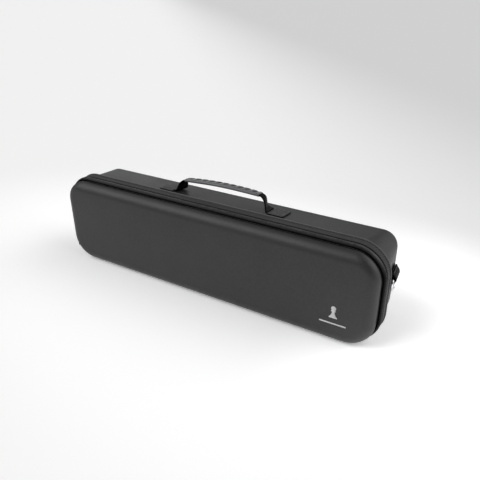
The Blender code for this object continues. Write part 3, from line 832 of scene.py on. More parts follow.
def rim_path():
    """Zip line and the way outwards along it: from the bottom, round both ends and over the top."""
    outline = rounded(HALF_LENGTH, RECESS, CASE_HEIGHT, RIM_RADIUS, RIM_RADIUS, CORNER_STEPS)
    angles = [math.radians(90 * (corner - 1 + i / CORNER_STEPS))
              for corner in range(4) for i in range(CORNER_STEPS + 1)]
    points = [Vector((x, PARTING_Y, z)) for x, z in outline]
    ways = [Vector((math.cos(t), 0, math.sin(t))) for t in angles]
    run = Vector((BOTTOM_RUN, 0, 0))
    return [points[0] - run] + points + [points[-1] + run], [ways[0]] + ways + [ways[-1]]


def along_rim(name, profile, side):
    """Sweeps a (u, v) profile along the zip line on the lid's side (-1) or the body's (+1)."""
    points, ways = rim_path()
    rings = [[p + w * v + Vector((0, side * u, 0)) for u, v in profile] for p, w in zip(points, ways)]
    return skin(name, rings)


def tape_profile(side):
    """Tape, hollow over its coil: the body's is flat with a piped edge, the lid's rolls down."""
    near = [(0.0014, 0.0031), (SLIT_HALF, 0.0025), (SLIT_HALF, COIL_HIGH + GAP)]
    if side > 0:
        width = BODY_TAPE_WIDTH
        dome = [(width - 0.0001, 0.0004), (width, 0.0020), (width - 0.0004, 0.0031),
                (width - 0.0014, TAPE_TOP + 0.0001), (width - 0.0023, 0.0031), (width - 0.0030, 0.0024),
                (0.0060, 0.0027), (0.0036, 0.0030)]
    else:
        width = LID_TAPE_WIDTH
        dome = [(width - 0.0001, 0.0005), (width - 0.0005, 0.0012), (width - 0.0016, 0.0021),
                (0.0040, 0.0029), (0.0024, TAPE_TOP)]
    curve = [(p.x, p.y) for p in smooth([(a, b, 0) for a, b in dome + near], 2)]
    under = [(COIL_SIDE, COIL_HIGH + GAP), (COIL_SIDE + 0.0004, GAP), (width - 0.0002, GAP)]
    return curve + under


def teeth(name, side, body):
    """Coil of the zip: one rounded turn after another, reaching into the slit."""
    points, ways = rim_path()
    run = lengths(np.array([tuple(p) for p in points]))
    unit = pillow((TOOTH_PITCH * 0.62, COIL_SIDE - GAP - 0.00055, COIL_HIGH - 0.0005), 0.4, 2)
    middle_u = (COIL_SIDE - GAP + 0.00055) / 2
    places = []
    here = TOOTH_PITCH * (0.5 if side > 0 else 1.0)
    i = 0
    while here < run[-1] - TOOTH_PITCH / 2:
        while run[i + 1] < here:
            i += 1
        share = (here - run[i]) / (run[i + 1] - run[i])
        out = ways[i].lerp(ways[i + 1], share).normalized()
        at = points[i].lerp(points[i + 1], share) + out * (0.0003 + (COIL_HIGH - 0.0003) / 2)
        along = Vector((0, 1, 0)).cross(out)
        lean = Matrix.Rotation(math.radians(TOOTH_LEAN * side), 4, out)
        axes = Matrix((along, Vector((0, 1, 0)), out)).transposed().to_4x4()
        places.append(Matrix.Translation(at + Vector((0, side * middle_u, 0))) @ lean @ axes)
        here += TOOTH_PITCH
    piece(name + "_teeth", repeated(name, unit, places), "coil", body, [name], sharp=60)


def bar_tacks(body, side, width):
    """Rows of thread that close each end of the zip."""
    points, _ = rim_path()
    unit = pillow((0.0005, width * 0.70, 0.0004), 0.4, 2)
    for which, end, inward in (("right", 0, 1), ("left", -1, -1)):
        middle = points[end] + Vector((0, side * width * 0.52, -TACK_V))
        bars = [Matrix.Translation(middle + Vector((inward * TACK_PITCH * (k + 1), 0, 0)))
                for k in range(TACK_BARS)]
        mesh = repeated("bar_tack", unit, bars)
        piece(f"{body}_bar_tack_{which}", mesh, "thread", body, sharp=80)


def zip_band():
    for name, side, body in (("lid", -1, "lid"), ("body", 1, "case")):
        mesh = along_rim(name + "_tape", tape_profile(side), side)
        piece(name + "_tape", mesh, name + "_tape", body, [name + "_zip_tape"], sharp=55)
        teeth(name + "_zip_coil", side, body)
    # Piping bead along the body tape's rear edge: a real piping whose light grey also carries a painted
    # highlight on that edge
    bead = [(BODY_TAPE_WIDTH - PIPING_INSET + a, PIPING_V + b) for a, b in circle(PIPING_RADIUS, 12)]
    piece("tape_piping_and_highlight", along_rim("piping_and_highlight", bead, 1), "piping_and_highlight", "case", sharp=70)
    # Painted shade: a near-black matte cord laid along the lid's groove stands in for the shade down in it
    cord = [(CORD_U + a, b) for a, b in rounded(CORD_HALF_WIDTH, -GROOVE_DEPTH, CORD_TOP, 0.0003, 0.0003, 3)]
    piece("groove_shade_cord", along_rim("seam", cord, -1), "seam", "lid", sharp=70)
    points, ways = rim_path()
    inset = Vector((0, BODY_TAPE_WIDTH - TAPE_STITCH_INSET, 0))
    edge = [p + w * TAPE_STITCH_V + inset for p, w in zip(points, ways)]
    stitches("tape_stitches", edge, lambda i: ways[i], TAPE_STITCH, "coil", "case")
    bar_tacks("lid", -1, LID_TAPE_WIDTH)
    bar_tacks("case", 1, BODY_TAPE_WIDTH)


def hinge():
    """Cloth hinge under both rims."""
    height = (HINGE_LOW.z + HINGE_HIGH.z) / 2
    thick = (HINGE_HIGH.z - HINGE_LOW.z) / 2
    width = HINGE_HIGH.y - HINGE_LOW.y
    rows = 28
    flat = rounded(HINGE_HIGH.x, -thick, thick, 0.0004, 0.0004, 2)
    rings = [[Vector((x, HINGE_LOW.y + width * i / rows, height + z)) for x, z in flat]
             for i in range(rows + 1)]
    made = piece("hinge_cloth", skin("hinge_cloth", rings), "lining", None, ["hinge_strip"])
    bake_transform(made)


# ---- slider and pull

def left_end(a, b, c):
    """Place on the left end: a along the zip (up), b outwards from the rim, c across the zip."""
    return Vector((-HALF_LENGTH - b, PARTING_Y + c, a))


def slider():
    def across(a, c, b):
        return left_end(SLIDER_Z + a, b, c)

    half = SLIDER_HALF
    top = [(half * share, c) for share, c in SLIDER_PLATE]
    plate = top + [(a, -c) for a, c in reversed(top)]
    plate = [(p.x, p.y) for p in smooth([(a, c, 0) for a, c in plate], 2, closed=True)]
    keel = [(a, c * KEEL_SHARE) for a, c in plate]
    stem = rounded(half * 0.8, -0.0005, 0.0005, 0.0003, 0.0003, 2)
    roof, floor = PLATE_HIGH + BRIDGE_RISE, PLATE_HIGH - 0.0004
    route = smooth([(-BRIDGE_FOOT, floor, 0), (-BRIDGE_TOP, roof, 0), (BRIDGE_TOP, roof, 0),
                    (BRIDGE_FOOT, floor, 0)], 3)
    route = [left_end(SLIDER_Z + p.x, p.y, 0) for p in route]
    wire = [(a, b) for b, a in rounded(0.0009, -0.0004, 0.0004, 0.00025, 0.00025, 2)]
    mesh = joined("slider", [
        slab("plate", plate, PLATE_LOW, PLATE_HIGH, across, 0.0004),
        slab("keel", keel, -0.0013, -0.0001, across, 0.0003),
        slab("post", stem, -0.0006, PLATE_LOW + 0.0004, across, 0.0001, 1),
        sweep("bridge", route, (0, 1, 0), wire),
    ])
    piece("slider", mesh, "black_metal", "slider", ["zip_slider"], sharp=50)


def pull():
    pivot = left_end(SLIDER_Z, PULL_PIVOT_V, 0.0)
    outline = rounded(LINK_HALF_WIDTH, -LINK_LENGTH, 0.0, 0.0012, 0.0012, 6)
    route = [pivot + Vector((0, c, a)) for c, a in outline]
    link = sweep("link", route, (1, 0, 0), circle(LINK_WIRE, 14), closed=True)
    piece("pull_wire", link, "steel", "pull", ["pull_link"], sharp=70)
    end, neck = -LINK_LENGTH - TAB_LENGTH, TAB_NECK
    right = arc((TAB_HALF_WIDTH - TAB_CORNER, end + TAB_CORNER), TAB_CORNER, -90, 0, 8)
    shoulder = ((TAB_HALF_WIDTH - 0.0005, 0.0060), (TAB_HALF_WIDTH - 0.0010, 0.0042),
                (neck, 0.0024), (neck, 0.0012))
    right += [(c, -LINK_LENGTH - down) for c, down in shoulder]
    shape = right + [(-c, a) for c, a in reversed(right)]
    half = TAB_HALF_THICKNESS * 0.8
    tab = slab("tab", shape, -half, half, lambda c, a, b: pivot + Vector((b, c, a)), 0.0006)
    eye_path = [pivot + Vector((b, 0, a - LINK_LENGTH)) for b, a in circle(EYE_RADIUS, 20)]
    band = rounded(0.00042, -neck, neck, 0.0003, 0.0003, 2)
    eye = sweep("eye", eye_path, (0, 1, 0), band, closed=True)
    face = TAB_HALF_THICKNESS * 0.84
    ribs = [Matrix.Translation(pivot + Vector((side * face, 0, end + 0.0046 + TAB_RIB_PITCH * k)))
            for side in (-1, 1) for k in range(TAB_RIBS)]
    grip = repeated("ribs", pillow((0.0006, 0.0058, 0.0009), 0.4, 2), ribs)
    piece("pull_grip", joined("pull_grip", [tab, eye, grip]), "pull_rubber", "pull",
          ["pull_tab"], sharp=50)


# ---- handle

def bow_z(x):
    return GRIP_MID_Z - (GRIP_MID_Z - GRIP_END_Z) * (x / GRIP_HALF) ** 2


def lean(x, z):
    """Extra height at a point of the handle, which sits a little higher on its right."""
    return GRIP_TILT * (x / GRIP_HALF) * min(z / GRIP_END_Z, 1.0) ** 2


def handle_place():
    top = CASE_HEIGHT - BODY.draft * (HANDLE_U - DRAFT_START)
    return Matrix.Translation((0, PARTING_Y + HANDLE_U, top)) @ Matrix.Rotation(-DRAFT_ANGLE, 4, "X")


def strap():
    """Webbing from one sewn tab to the other, gathered where it enters the grip."""
    foot, gathered = STRAP_LEG[0][0], STRAP_LEG[-1][0]

    def left(x):
        """The left leg stands a little nearer the middle."""
        return LEFT_SHIFT * min((foot - x) / 0.0023, max((x - gathered) / 0.0046, 0.0), 1.0) - x

    half = STRAP_LEG + [(GRIP_HALF * k / 8, bow_z(GRIP_HALF * k / 8), 0.0, 0) for k in range(8, -1, -1)]
    stations = [(left(x), z, s, -t * LEFT_TOE) for x, z, s, t in half] + half[-2::-1]
    points = smooth([station[:3] for station in stations], 2)
    turns = smooth([(turn, 0, 0) for _, _, _, turn in stations], 2)
    place = handle_place()
    rings = []
    for i, (point, turn) in enumerate(zip(points, turns)):
        before, after = points[max(i - 1, 0)], points[min(i + 1, len(points) - 1)]
        along = Vector((after.x - before.x, 0, after.y - before.y)).normalized()
        across = Vector((-math.tan(math.radians(turn.x)), 1, 0))
        up = Vector((0, 1, 0)).cross(along)
        share = point.z
        width = STRAP_NECK + (STRAP_WIDTH - STRAP_NECK) * share
        thickness = STRAP_CORE + (STRAP_THICKNESS - STRAP_CORE) * min(share * 4, 1.0)
        pleat = STRAP_PLEAT * (1 - share) * min(share * 6, 1.0)
        centre = Vector((point.x, 0, point.y + lean(point.x, point.y)))
        rings.append([place @ (centre + across * width * a
                               + up * (thickness * b + pleat * math.cos(a * 5 * math.pi)))
                      for a, b in strap_profile()])
    piece("strap_webbing", skin("strap", rings), "webbing", "case", ["handle_strap"], sharp=60)


def strap_profile():
    """Webbing section with unit width and thickness: flat, rounded edges, a few points across."""
    steps = 12
    top = [(-0.46 + 0.92 * i / steps, 0.5) for i in range(steps + 1)]
    right = [(0.49, 0.36), (0.5, 0.0), (0.49, -0.36)]
    bottom = [(-a, -b) for a, b in top]
    left = [(-a, -b) for a, b in right]
    return top + right + bottom + left


def grip():
    """Bowed rubber grip with oblique dimples along its top, and a slot for the strap."""
    stations, around = 240, 48
    pitch = 2 * GRIP_HALF / (DIMPLES + 0.6)
    place = handle_place()
    hole = rounded(STRAP_NECK / 2 + GAP, -STRAP_CORE / 2 - GAP, STRAP_CORE / 2 + GAP,
                   0.0004, 0.0004, around // 4 - 1)
    hole = hole[around // 4:] + hole[:around // 4]
    outer, inner, dents = [], [], []
    for i in range(stations + 1):
        x = GRIP_HALF * (2 * i / stations - 1)
        end = min((GRIP_HALF - abs(x)) / 0.0012, 1.0)
        swell = 0.90 + 0.10 * math.sqrt(max(1 - (1 - end) ** 2, 0))
        swell *= 1 - GRIP_TAPER * (x / GRIP_HALF) ** 4
        z = bow_z(x) + lean(x, GRIP_END_Z)
        k = round(x / pitch - 0.5) + 0.5
        ring = []
        for j in range(around):
            c, s = math.cos(math.tau * j / around), math.sin(math.tau * j / around)
            y = GRIP_WIDTH / 2 * swell * math.copysign(abs(c) ** GRIP_SQUARENESS, c)
            d = GRIP_HEIGHT / 2 * swell * math.copysign(abs(s) ** GRIP_SQUARENESS, s)
            a = (x - k * pitch - DIMPLE_SLANT * y) / (pitch * DIMPLE_LENGTH)
            b = (y - DIMPLE_OFFSET) / (GRIP_WIDTH * DIMPLE_WIDTH)
            bowl = max(0.0, 1 - a * a - b * b) if abs(k) < DIMPLES / 2 and s > 0 else 0.0
            deep = min(bowl * DIMPLE_STEEPNESS, 1.0)
            dents.append(deep)
            ring.append(place @ Vector((x, y, z + d - DIMPLE_DEPTH * deep ** 0.8 * s)))
        outer.append(ring)
        inner.append([place @ Vector((x, y, z + d)) for y, d in hole])
    mesh = skin("grip", outer + inner[::-1], loop=True)
    # Dimple depth, stored as the mask of the grip's painted shade
    dimple_shade = mesh.attributes.new("dimple_shade", "FLOAT", "POINT")
    dimple_shade.data.foreach_set("value", np.array(dents + [0.0] * len(dents), np.float32))
    piece("grip_sleeve", mesh, "grip", "case", ["handle_grip"], sharp=60)


def anchors():
    """Sewn tabs over the strap's ends, each with a near-black cord round its rim that stands in for the
    shadow there (painted shade), and a stitched box with a cross.
    """
    place = handle_place()
    up = place.to_3x3() @ Vector((0, 0, 1))
    half, middle_x = STRAP_WIDTH / 2 + ANCHOR_MARGIN, (TAB_START + TAB_END) / 2
    reach = (TAB_END - TAB_START) / 2
    outline = rounded(reach, -half, half, ANCHOR_CORNER, ANCHOR_CORNER, 8)
    box_half = half - SEWN_BOX_INSET
    box = rounded(reach - SEWN_BOX_INSET, -box_half, box_half, 0.0012, 0.0012, 4)
    for which, side in (("left", -1), ("right", 1)):
        centre = Vector((side * middle_x, 0, 0))

        def at(x, y, z):
            return place @ (centre + Vector((x, y, z)))

        mesh = slab("anchor", outline, GAP, ANCHOR_TOP, at, 0.0005)
        piece("anchor_tab_" + which, mesh, "skin", "case", ["handle_anchor_" + which])
        # Painted shade: a near-black cord round the tab's rim stands in for its shadow line
        rim = [at(x, y, SHADOW_CORD_Z) for x, y in outline]
        edge = sweep("edge", rim, up, circle(SHADOW_CORD_RADIUS, 10), closed=True)
        piece("anchor_shadow_cord_" + which, edge, "webbing", "case", sharp=70)
        loop = [at(x, y, ANCHOR_TOP) for x, y in box]
        stitches("anchor_stitches_" + which, loop, lambda i: up, TAB_STITCH, "thread", "case",
                 closed=True, lift=0.0001)
        a, b = reach - SEWN_CROSS_INSET, half - SEWN_CROSS_INSET
        for k, slope in ((1, -1), (2, 1)):
            line = [at(-a, slope * b, ANCHOR_TOP), at(a, -slope * b, ANCHOR_TOP)]
            stitches(f"anchor_cross_{which}_{k}", line, lambda i: up, TAB_STITCH, "thread", "case",
                     lift=0.0001)


# ---- loops and rings

def loop_line():
    """Middle line of the hairpin of webbing round the ring's bar, as (outward, up)."""
    turn = RING_WIRE + 0.0004 + LOOP_THICKNESS / 2
    wall = -RING_STAND_OFF + GAP + LOOP_THICKNESS / 2
    outer_top = wall + LOOP_THICKNESS + GAP
    line = [(outer_top, LOOP_LEG), (outer_top + 0.0004, LOOP_LEG * 0.78), (turn * 0.72, LOOP_LEG * 0.38)]
    line += arc((0, 0), turn, 10, -190, 20)
    line += [(wall, LOOP_LEG * 0.35), (wall, LOOP_LEG)]
    return smooth([(a, b, 0) for a, b in line], 2)


def ring_line():
    corner, half, cut = RING_CORNER, RING_HALF_WIDTH, RING_CHAMFER
    bow = [(half * math.cos(t), -corner - (RING_DROP - corner) * math.sin(t))
           for t in (math.pi * i / 24 for i in range(25))]
    flat = [(-half + corner, 0.0), (half - corner, 0.0), (half - cut, -cut)]
    return smooth([(c, a, 0) for c, a in flat + bow + [(-half + cut, -cut)]], 2, closed=True)


def strap_ring(which, angle, side):
    wall_x = HALF_LENGTH - BODY.draft * (LOOP_U - DRAFT_START)
    out = Vector((side * math.cos(DRAFT_ANGLE), math.sin(DRAFT_ANGLE), 0))
    centre = Vector((side * wall_x, PARTING_Y + LOOP_U, LOOP_BAR_Z)) + out * RING_STAND_OFF
    place = Matrix.Translation(centre) @ Matrix.Rotation(angle, 4, "Z")
    turn = place.to_3x3()
    line = [place @ Vector((p.x, 0, p.y)) for p in loop_line()]
    band = [(b, a) for a, b in ribbon(LOOP_WIDTH / 2, LOOP_THICKNESS / 2)]
    mesh = sweep("loop", line, turn @ Vector((0, 1, 0)), band)
    piece("webbing_loop_" + which, mesh, "webbing", "case", ["ring_loop_" + which], sharp=60)
    ring = [place @ Vector((0, p.x, p.y)) for p in ring_line()]
    outwards = turn @ Vector((1, 0, 0))
    mesh = sweep("ring", ring, outwards, circle(RING_WIRE, 20), closed=True)
    piece("d_ring_wire_" + which, mesh, "steel", "d_ring_" + which,
          ["d_ring_" + which], sharp=70)
    face = -RING_STAND_OFF + 2 * GAP + 2 * LOOP_THICKNESS
    half = LOOP_WIDTH / 2 - 0.002
    for k, height, lift in ((1, 0.62, 0.0003), (2, 0.90, 0.0001)):
        row = [place @ Vector((face + lift, y, LOOP_LEG * height)) for y in (-half, half)]
        stitches(f"loop_stitches_{which}_{k}", row, lambda i: outwards, LOOP_STITCH, "thread",
                 "case")


# ---- insert and lid fittings

def foam_piece(name, mesh, node):
    piece(name, mesh, "foam", "case", [node])


def foam_surround():
    """Foam between the lining and the field of pockets, with rounded front edges."""
    inset = WALL + LINING + 2 * GAP
    low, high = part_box("foam_frame")
    front_u, rear_u = low.y - PARTING_Y, high.y - PARTING_Y
    half_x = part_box("foam_divider_long")[1].x + GAP
    cross_low, cross_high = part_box("foam_divider_1")
    turns = [math.pi / 8 * i for i in range(5)]
    bend = [(FOAM_EDGE * (1 - math.cos(t)), FOAM_EDGE * (1 - math.sin(t))) for t in turns]
    outer = [section(BODY, front_u + a, inset + b, RECESS) for a, b in bend]
    outer += raised_rim(inset) + [section(BODY, u, inset) for u in (0.030, 0.045, rear_u)]
    hole = [(rear_u, 0.0), (front_u + FOAM_EDGE, 0.0)]
    hole += [(front_u + b, a) for a, b in bend[1:]]
    inner = []
    for u, grow in hole:
        field = rounded(half_x + grow, cross_low.z - GAP - grow, cross_high.z + GAP + grow,
                        FIELD_RADIUS, FIELD_RADIUS, CORNER_STEPS)
        inner.append([Vector((x, PARTING_Y + u, z)) for x, z in field])
    foam_piece("foam_surround", skin("foam_frame", outer + inner, loop=True), "foam_frame")


def foam_floor():
    inset = WALL + LINING + 2 * GAP
    low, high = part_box("foam_base")
    middle = (low + high) / 2
    face = section(BODY, BODY_DEPTH - inset, inset + 0.0004)
    rings = []
    for y, keep in ((low.y, 0.994), (low.y + 0.0008, 1.0), (high.y - 0.0008, 1.0), (high.y, 0.994)):
        rings.append([Vector((middle.x + (p.x - middle.x) * keep, y, middle.z + (p.z - middle.z) * keep))
                      for p in face])
    foam_piece("foam_floor", skin("foam_base", rings), "foam_base")


def foam_dividers():
    """Slotted sheets of foam that halve each other where they cross."""
    long_low, long_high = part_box("foam_divider_long")
    front, rear = long_low.y, long_high.y
    middle = (front + rear) / 2
    names = [f"foam_divider_{i}" for i in range(1, 8)]
    outline = [(long_low.x, rear), (long_low.x, front)]
    for low, high in map(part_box, names):
        slot = (low.x - GAP, high.x + GAP)
        outline += [(slot[0], front), (slot[0], middle), (slot[1], middle), (slot[1], front)]
    outline += [(long_high.x, front), (long_high.x, rear)]
    mesh = slab("long", outline, long_low.z, long_high.z, lambda x, y, z: Vector((x, y, z)), FOAM_BEVEL)
    foam_piece("divider_long", mesh, "foam_divider_long")
    slot = (long_low.z - GAP, long_high.z + GAP)
    for name in names:
        low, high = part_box(name)
        outline = [(low.z, front), (high.z, front), (high.z, rear), (slot[1], rear), (slot[1], middle + GAP),
                   (slot[0], middle + GAP), (slot[0], rear), (low.z, rear)]
        mesh = slab("cross", outline, low.x, high.x, lambda z, y, x: Vector((x, y, z)), FOAM_BEVEL)
        foam_piece(name.replace("foam_", ""), mesh, name)


def billow(name, xs, zs, y, pinned, most):
    """How far each point of a flat sheet moves along Y, by cloth simulation.

    The sheet is held where pinned(x, z) says, and its largest move is scaled to most.
    """
    grid = [(x, y, z) for z in zs for x in xs]
    wide = len(xs)
    faces = [(j * wide + i, j * wide + i + 1, (j + 1) * wide + i + 1, (j + 1) * wide + i)
             for j in range(len(zs) - 1) for i in range(wide - 1)]
    mesh = bpy.data.meshes.new(name)
    mesh.from_pydata(grid, [], faces)
    obj = bpy.data.objects.new(name, mesh)
    bpy.context.scene.collection.objects.link(obj)
    held = obj.vertex_groups.new(name="held")
    held.add([k for k, (x, _, z) in enumerate(grid) if pinned(x, z)], 1.0, "REPLACE")
    cloth = obj.modifiers.new("cloth", "CLOTH")
    cloth.settings.quality = 6
    cloth.settings.mass = 0.3
    cloth.settings.vertex_group_mass = "held"
    cloth.settings.tension_stiffness = cloth.settings.compression_stiffness = 12
    cloth.settings.bending_stiffness = 0.3
    cloth.collision_settings.use_collision = False
    scene = bpy.context.scene
    gravity = scene.gravity.copy()
    scene.gravity = (0, 9.8, 0)
    cloth.point_cache.frame_end = 24
    for number in range(1, 25):
        scene.frame_set(number)
    shape = obj.evaluated_get(bpy.context.evaluated_depsgraph_get())
    moved = np.array([v.co.y for v in shape.data.vertices]).reshape(len(zs), wide) - y
    scene.frame_set(1)
    scene.gravity = gravity
    bpy.data.objects.remove(obj)
    return moved * most / max(np.abs(moved).max(), 1e-6)


def sampled(field, xs, zs, x, z):
    """Value of a field on the grid at (x, z)."""
    i = min(max(np.searchsorted(xs, x) - 1, 0), len(xs) - 2)
    j = min(max(np.searchsorted(zs, z) - 1, 0), len(zs) - 2)
    s = min(max((x - xs[i]) / (xs[i + 1] - xs[i]), 0.0), 1.0)
    t = min(max((z - zs[j]) / (zs[j + 1] - zs[j]), 0.0), 1.0)
    return ((field[j][i] * (1 - s) + field[j][i + 1] * s) * (1 - t)
            + (field[j + 1][i] * (1 - s) + field[j + 1][i + 1] * s) * t)


def lid_pad():
    """Quilted pad on the lid's inside: cloth held along its seams and puffed between them."""
    low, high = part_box("lid_foam_pad")
    xs, zs = np.linspace(low.x, high.x, PAD_GRID[0]), np.linspace(low.z, high.z, PAD_GRID[1])
    cell = (high.x - low.x) / PAD_COLUMNS
    middle, size = (low + high) / 2, high - low
    base = high.y - PAD_PUFF

    def seam(x, z):
        off = abs((x - low.x) / cell - round((x - low.x) / cell)) * cell
        return min(off, x - low.x, high.x - x, z - low.z, high.z - z) < SEAM_HALF

    def rounded_in(x, z):
        """Pulls a grid point in so that the sheet's corners are round like the face's."""
        straight_x, straight_z = size.x / 2 - size.z * 0.16, size.z / 2 - size.z * 0.16
        over_x, over_z = abs(x - middle.x) - straight_x, abs(z - middle.z) - straight_z
        if over_x <= 0 or over_z <= 0:
            return x, z
        scale = max(over_x, over_z) / math.hypot(over_x, over_z)
        return (middle.x + math.copysign(straight_x + over_x * scale, x - middle.x),
                middle.z + math.copysign(straight_z + over_z * scale, z - middle.z))

    rise = billow("pad_cloth", xs, zs, base, seam, PAD_PUFF)
    inset = WALL + LINING + 2 * GAP
    face = section(LID, LID_DEPTH - inset, inset + 0.0004)
    depths = (low.y, low.y + 0.0004, base - 0.0003)
    core = skin("pad_core", [[Vector((p.x, y, p.z)) for p in face] for y in depths])
    rows = []
    for z, heights in zip(zs, rise):
        places = [rounded_in(x, z) for x in xs]
        rows.append([Vector((x, base + height, z)) for (x, z), height in zip(places, heights)])
    mesh = joined("lid_quilt", [core, skin("pad_top", rows, closed=False)])
    pad = piece("lid_quilt", mesh, "quilt", "lid", ["lid_foam_pad"], sharp=60)
    for k in range(1, PAD_COLUMNS):
        line = [Vector((low.x + cell * k, base + 0.0002, z)) for z in (low.z + 0.002, high.z - 0.002)]
        stitches(f"quilt_seam_{k}", line, lambda i: (0, 1, 0), QUILT_STITCH, "thread", "lid")


def net_mesh(low, high, height):
    """Net of six-sided holes whose threads lie at height(x, z)."""
    bm = bmesh.new()
    corners = {}

    def corner(x, z):
        key = (round(x * 20000), round(z * 20000))
        if key not in corners:
            x, z = min(max(x, low.x), high.x), min(max(z, low.z), high.z)
            corners[key] = bm.verts.new((x, height(x, z), z))
        return corners[key]

    step_z = NET_PITCH * math.sqrt(3) / 2
    reach = NET_PITCH / math.sqrt(3)
    turns = [math.radians(60 * k) for k in range(6)]
    for row in range(int((high.z - low.z) / step_z)):
        for column in range(int((high.x - low.x) / NET_PITCH)):
            x = low.x + NET_PITCH * (column + (0.75 if row % 2 else 0.25))
            z = low.z + step_z * (row + 0.6)
            points = [corner(x + reach * math.sin(t), z + reach * math.cos(t)) for t in turns]
            if len(set(points)) == 6:
                bm.faces.new(points)
    bm.normal_update()
    holes = bm.faces[:]
    bmesh.ops.inset_individual(bm, faces=holes, thickness=NET_THREAD, use_even_offset=True)
    bmesh.ops.delete(bm, geom=holes, context="FACES_ONLY")
    bmesh.ops.recalc_face_normals(bm, faces=bm.faces)
    mesh = baked("net", bm)
    mesh.uv_layers.new(name="flow")
    return mesh


def mesh_pocket():
    """Net pocket inside the lid: a perforated sheet bound on three sides, with an elastic hem."""
    low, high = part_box("mesh_pocket")
    hem_low, hem_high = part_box("pocket_hem")
    xs, zs = np.linspace(low.x, high.x, NET_GRID[0]), np.linspace(low.z, high.z, NET_GRID[1])
    back, front = low.y + 0.0006, high.y - 0.0008

    def slope(x, ends):
        """Rises from 0 at the pocket's two ends to 1 along its middle."""
        side = min((x - ends[0].x) / POCKET_SLOPE, (ends[1].x - x) / POCKET_SLOPE, 1.0)
        return side * side * (3 - 2 * side)

    def height(x, z):
        rise = min((z - low.z) / (high.z - low.z), 1.0)
        flat = back + (front - back) * slope(x, (low, high)) * (1 - (1 - rise) ** 2) * 0.75
        return flat + sampled(bulge, xs, zs, x, z)

    def held(x, z):
        return min(x - low.x, high.x - x, z - low.z) < 0.001 or z > high.z - 0.001

    bulge = billow("pocket_cloth", xs, zs, back, held, NET_SAG)
    mesh = net_mesh(low, high, height)
    net = piece("pocket_net", mesh, "net", "lid", ["mesh_pocket"])
    cut = 0.004
    binding = [(low.x, high.z), (low.x, low.z + cut), (low.x + cut, low.z), (high.x - cut, low.z),
               (high.x, low.z + cut), (high.x, high.z)]
    binding = smooth([(x, back, z) for x, z in binding], 2)
    band = sweep("binding", binding, (0, 1, 0), ribbon(0.0028, 0.0005))
    bound = piece("pocket_binding", band, "webbing", "lid", sharp=60)
    middle_z = (hem_low.z + hem_high.z) / 2
    profile = ribbon((hem_high.z - hem_low.z) / 2, 0.0004)
    rings = []
    for i in range(HEM_WAVES * 4 + 1):
        x = hem_low.x + (hem_high.x - hem_low.x) * i / (HEM_WAVES * 4)
        lift = back + (hem_high.y - 0.0008 - back) * slope(x, (hem_low, hem_high))
        lift += HEM_RUFFLE * math.cos(math.pi / 2 * i + 0.6 * math.sin(i * 0.35))
        rings.append([Vector((x, lift + b, middle_z + a)) for a, b in profile])
    hem = piece("pocket_elastic", skin("hem", rings), "webbing", "lid", ["pocket_hem"], sharp=60)
    width, length = high.z - low.z, high.x - low.x
    area = max(sum(p.area for p in mesh.polygons), 0.3 * width * length)


# ---- printed mark

def mark():
    """Generic pawn over a thin bar, printed low on the lid's right."""
    face_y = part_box("lid_shell")[0].y - CROWN * 0.62

    def flat(a, b, c):
        return Vector((MARK_X + a, face_y - c, MARK_Z + b))

    pawn = [*PAWN, *arc(*PAWN_HEAD, -60, 240, 22), *((-a, b) for a, b in reversed(PAWN))]
    bar = rounded(0.0140, -0.0072, -0.0056, 0.0006, 0.0006, 4)
    mesh = joined("mark", [slab("mark", outline, PRINT_LOW, PRINT_HIGH, flat, 0.00002, 1)
                           for outline in (pawn, bar)])
    piece("printed_mark", mesh, "print", "lid", sharp=70)


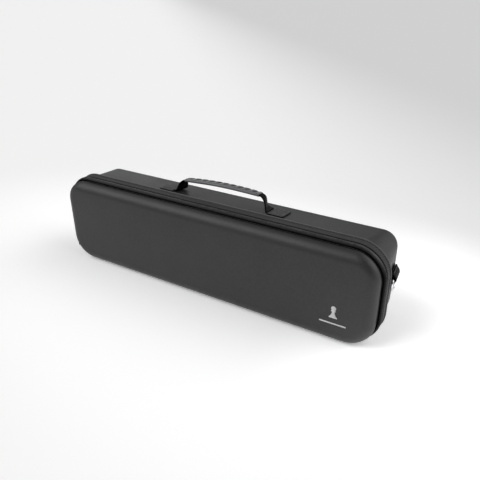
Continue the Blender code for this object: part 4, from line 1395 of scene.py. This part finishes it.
# Woven finishes: dark and light colours, thread pitch, slant, roughness, relief, sheen and gloss
WEAVES = {
    "thread": ((0.055, 0.055, 0.056), (0.14, 0.14, 0.14), 0.0003, 45, (0.45, 0.6), 0.00015, 0.1, 0.4),
    "lining": ((0.020, 0.020, 0.022), (0.060, 0.060, 0.066), 0.0007, 45, (0.8, 0.95), 0.0001, 0.3, 0.4),
    "quilt": ((0.026, 0.026, 0.028), (0.070, 0.070, 0.076), 0.0008, 0, (0.75, 0.92), 0.00012, 0.3, 0.4),
    "webbing": ((0.0006, 0.0006, 0.0006), (0.003, 0.003, 0.003), 0.0013, 45, (0.4, 0.6), 0.00025, 0.0, 0.09),
    "net": ((0.018, 0.018, 0.019), (0.050, 0.050, 0.052), 0.0005, 30, (0.6, 0.8), 0.00015, 0.1, 0.4),
    # Light grey piping: partly its own colour and partly a painted highlight along the tape's rear edge
    "piping_and_highlight": ((0.070, 0.070, 0.070), (0.150, 0.148, 0.148), 0.0004, 45, (0.4, 0.55), 0.00005, 0.0, 0.4),
    # Near-black matte cloth of the groove's cord: painted shade in the groove
    "seam": ((0.0006, 0.0006, 0.0006), (0.003, 0.003, 0.003), 0.0006, 45, (0.85, 1.0), 0.00005, 0.0, 0.1),
}
FINISHES = {
    "skin": grained_skin(),
    "lid_tape": lid_tape(),
    "body_tape": body_tape(),
    "coil": moulded("coil", (0.008, 0.008, 0.008), (0.016, 0.016, 0.017), (0.3, 0.5)),
    "grip": grip_rubber(),
    "pull_rubber": moulded("pull_rubber", (0.014, 0.014, 0.015), (0.030, 0.030, 0.032), (0.42, 0.6)),
    "steel": metal("steel", (0.55, 0.55, 0.56), (0.82, 0.82, 0.83), (0.14, 0.34)),
    "black_metal": metal("black_metal", (0.03, 0.03, 0.032), (0.12, 0.12, 0.125), (0.25, 0.45)),
    "foam": foam(),
    "print": printed(),
    **{name: woven(name, *weave) for name, weave in WEAVES.items()},
}

add_camera()
add_floor()
add_lights()
shells()
zip_band()
hinge()
slider()
pull()
strap()
grip()
anchors()
strap_ring("right", DRAFT_ANGLE, 1)
strap_ring("left", math.pi - DRAFT_ANGLE, -1)
foam_surround()
foam_floor()
foam_dividers()
lid_pad()
mesh_pocket()
mark()

bpy.context.view_layer.update()
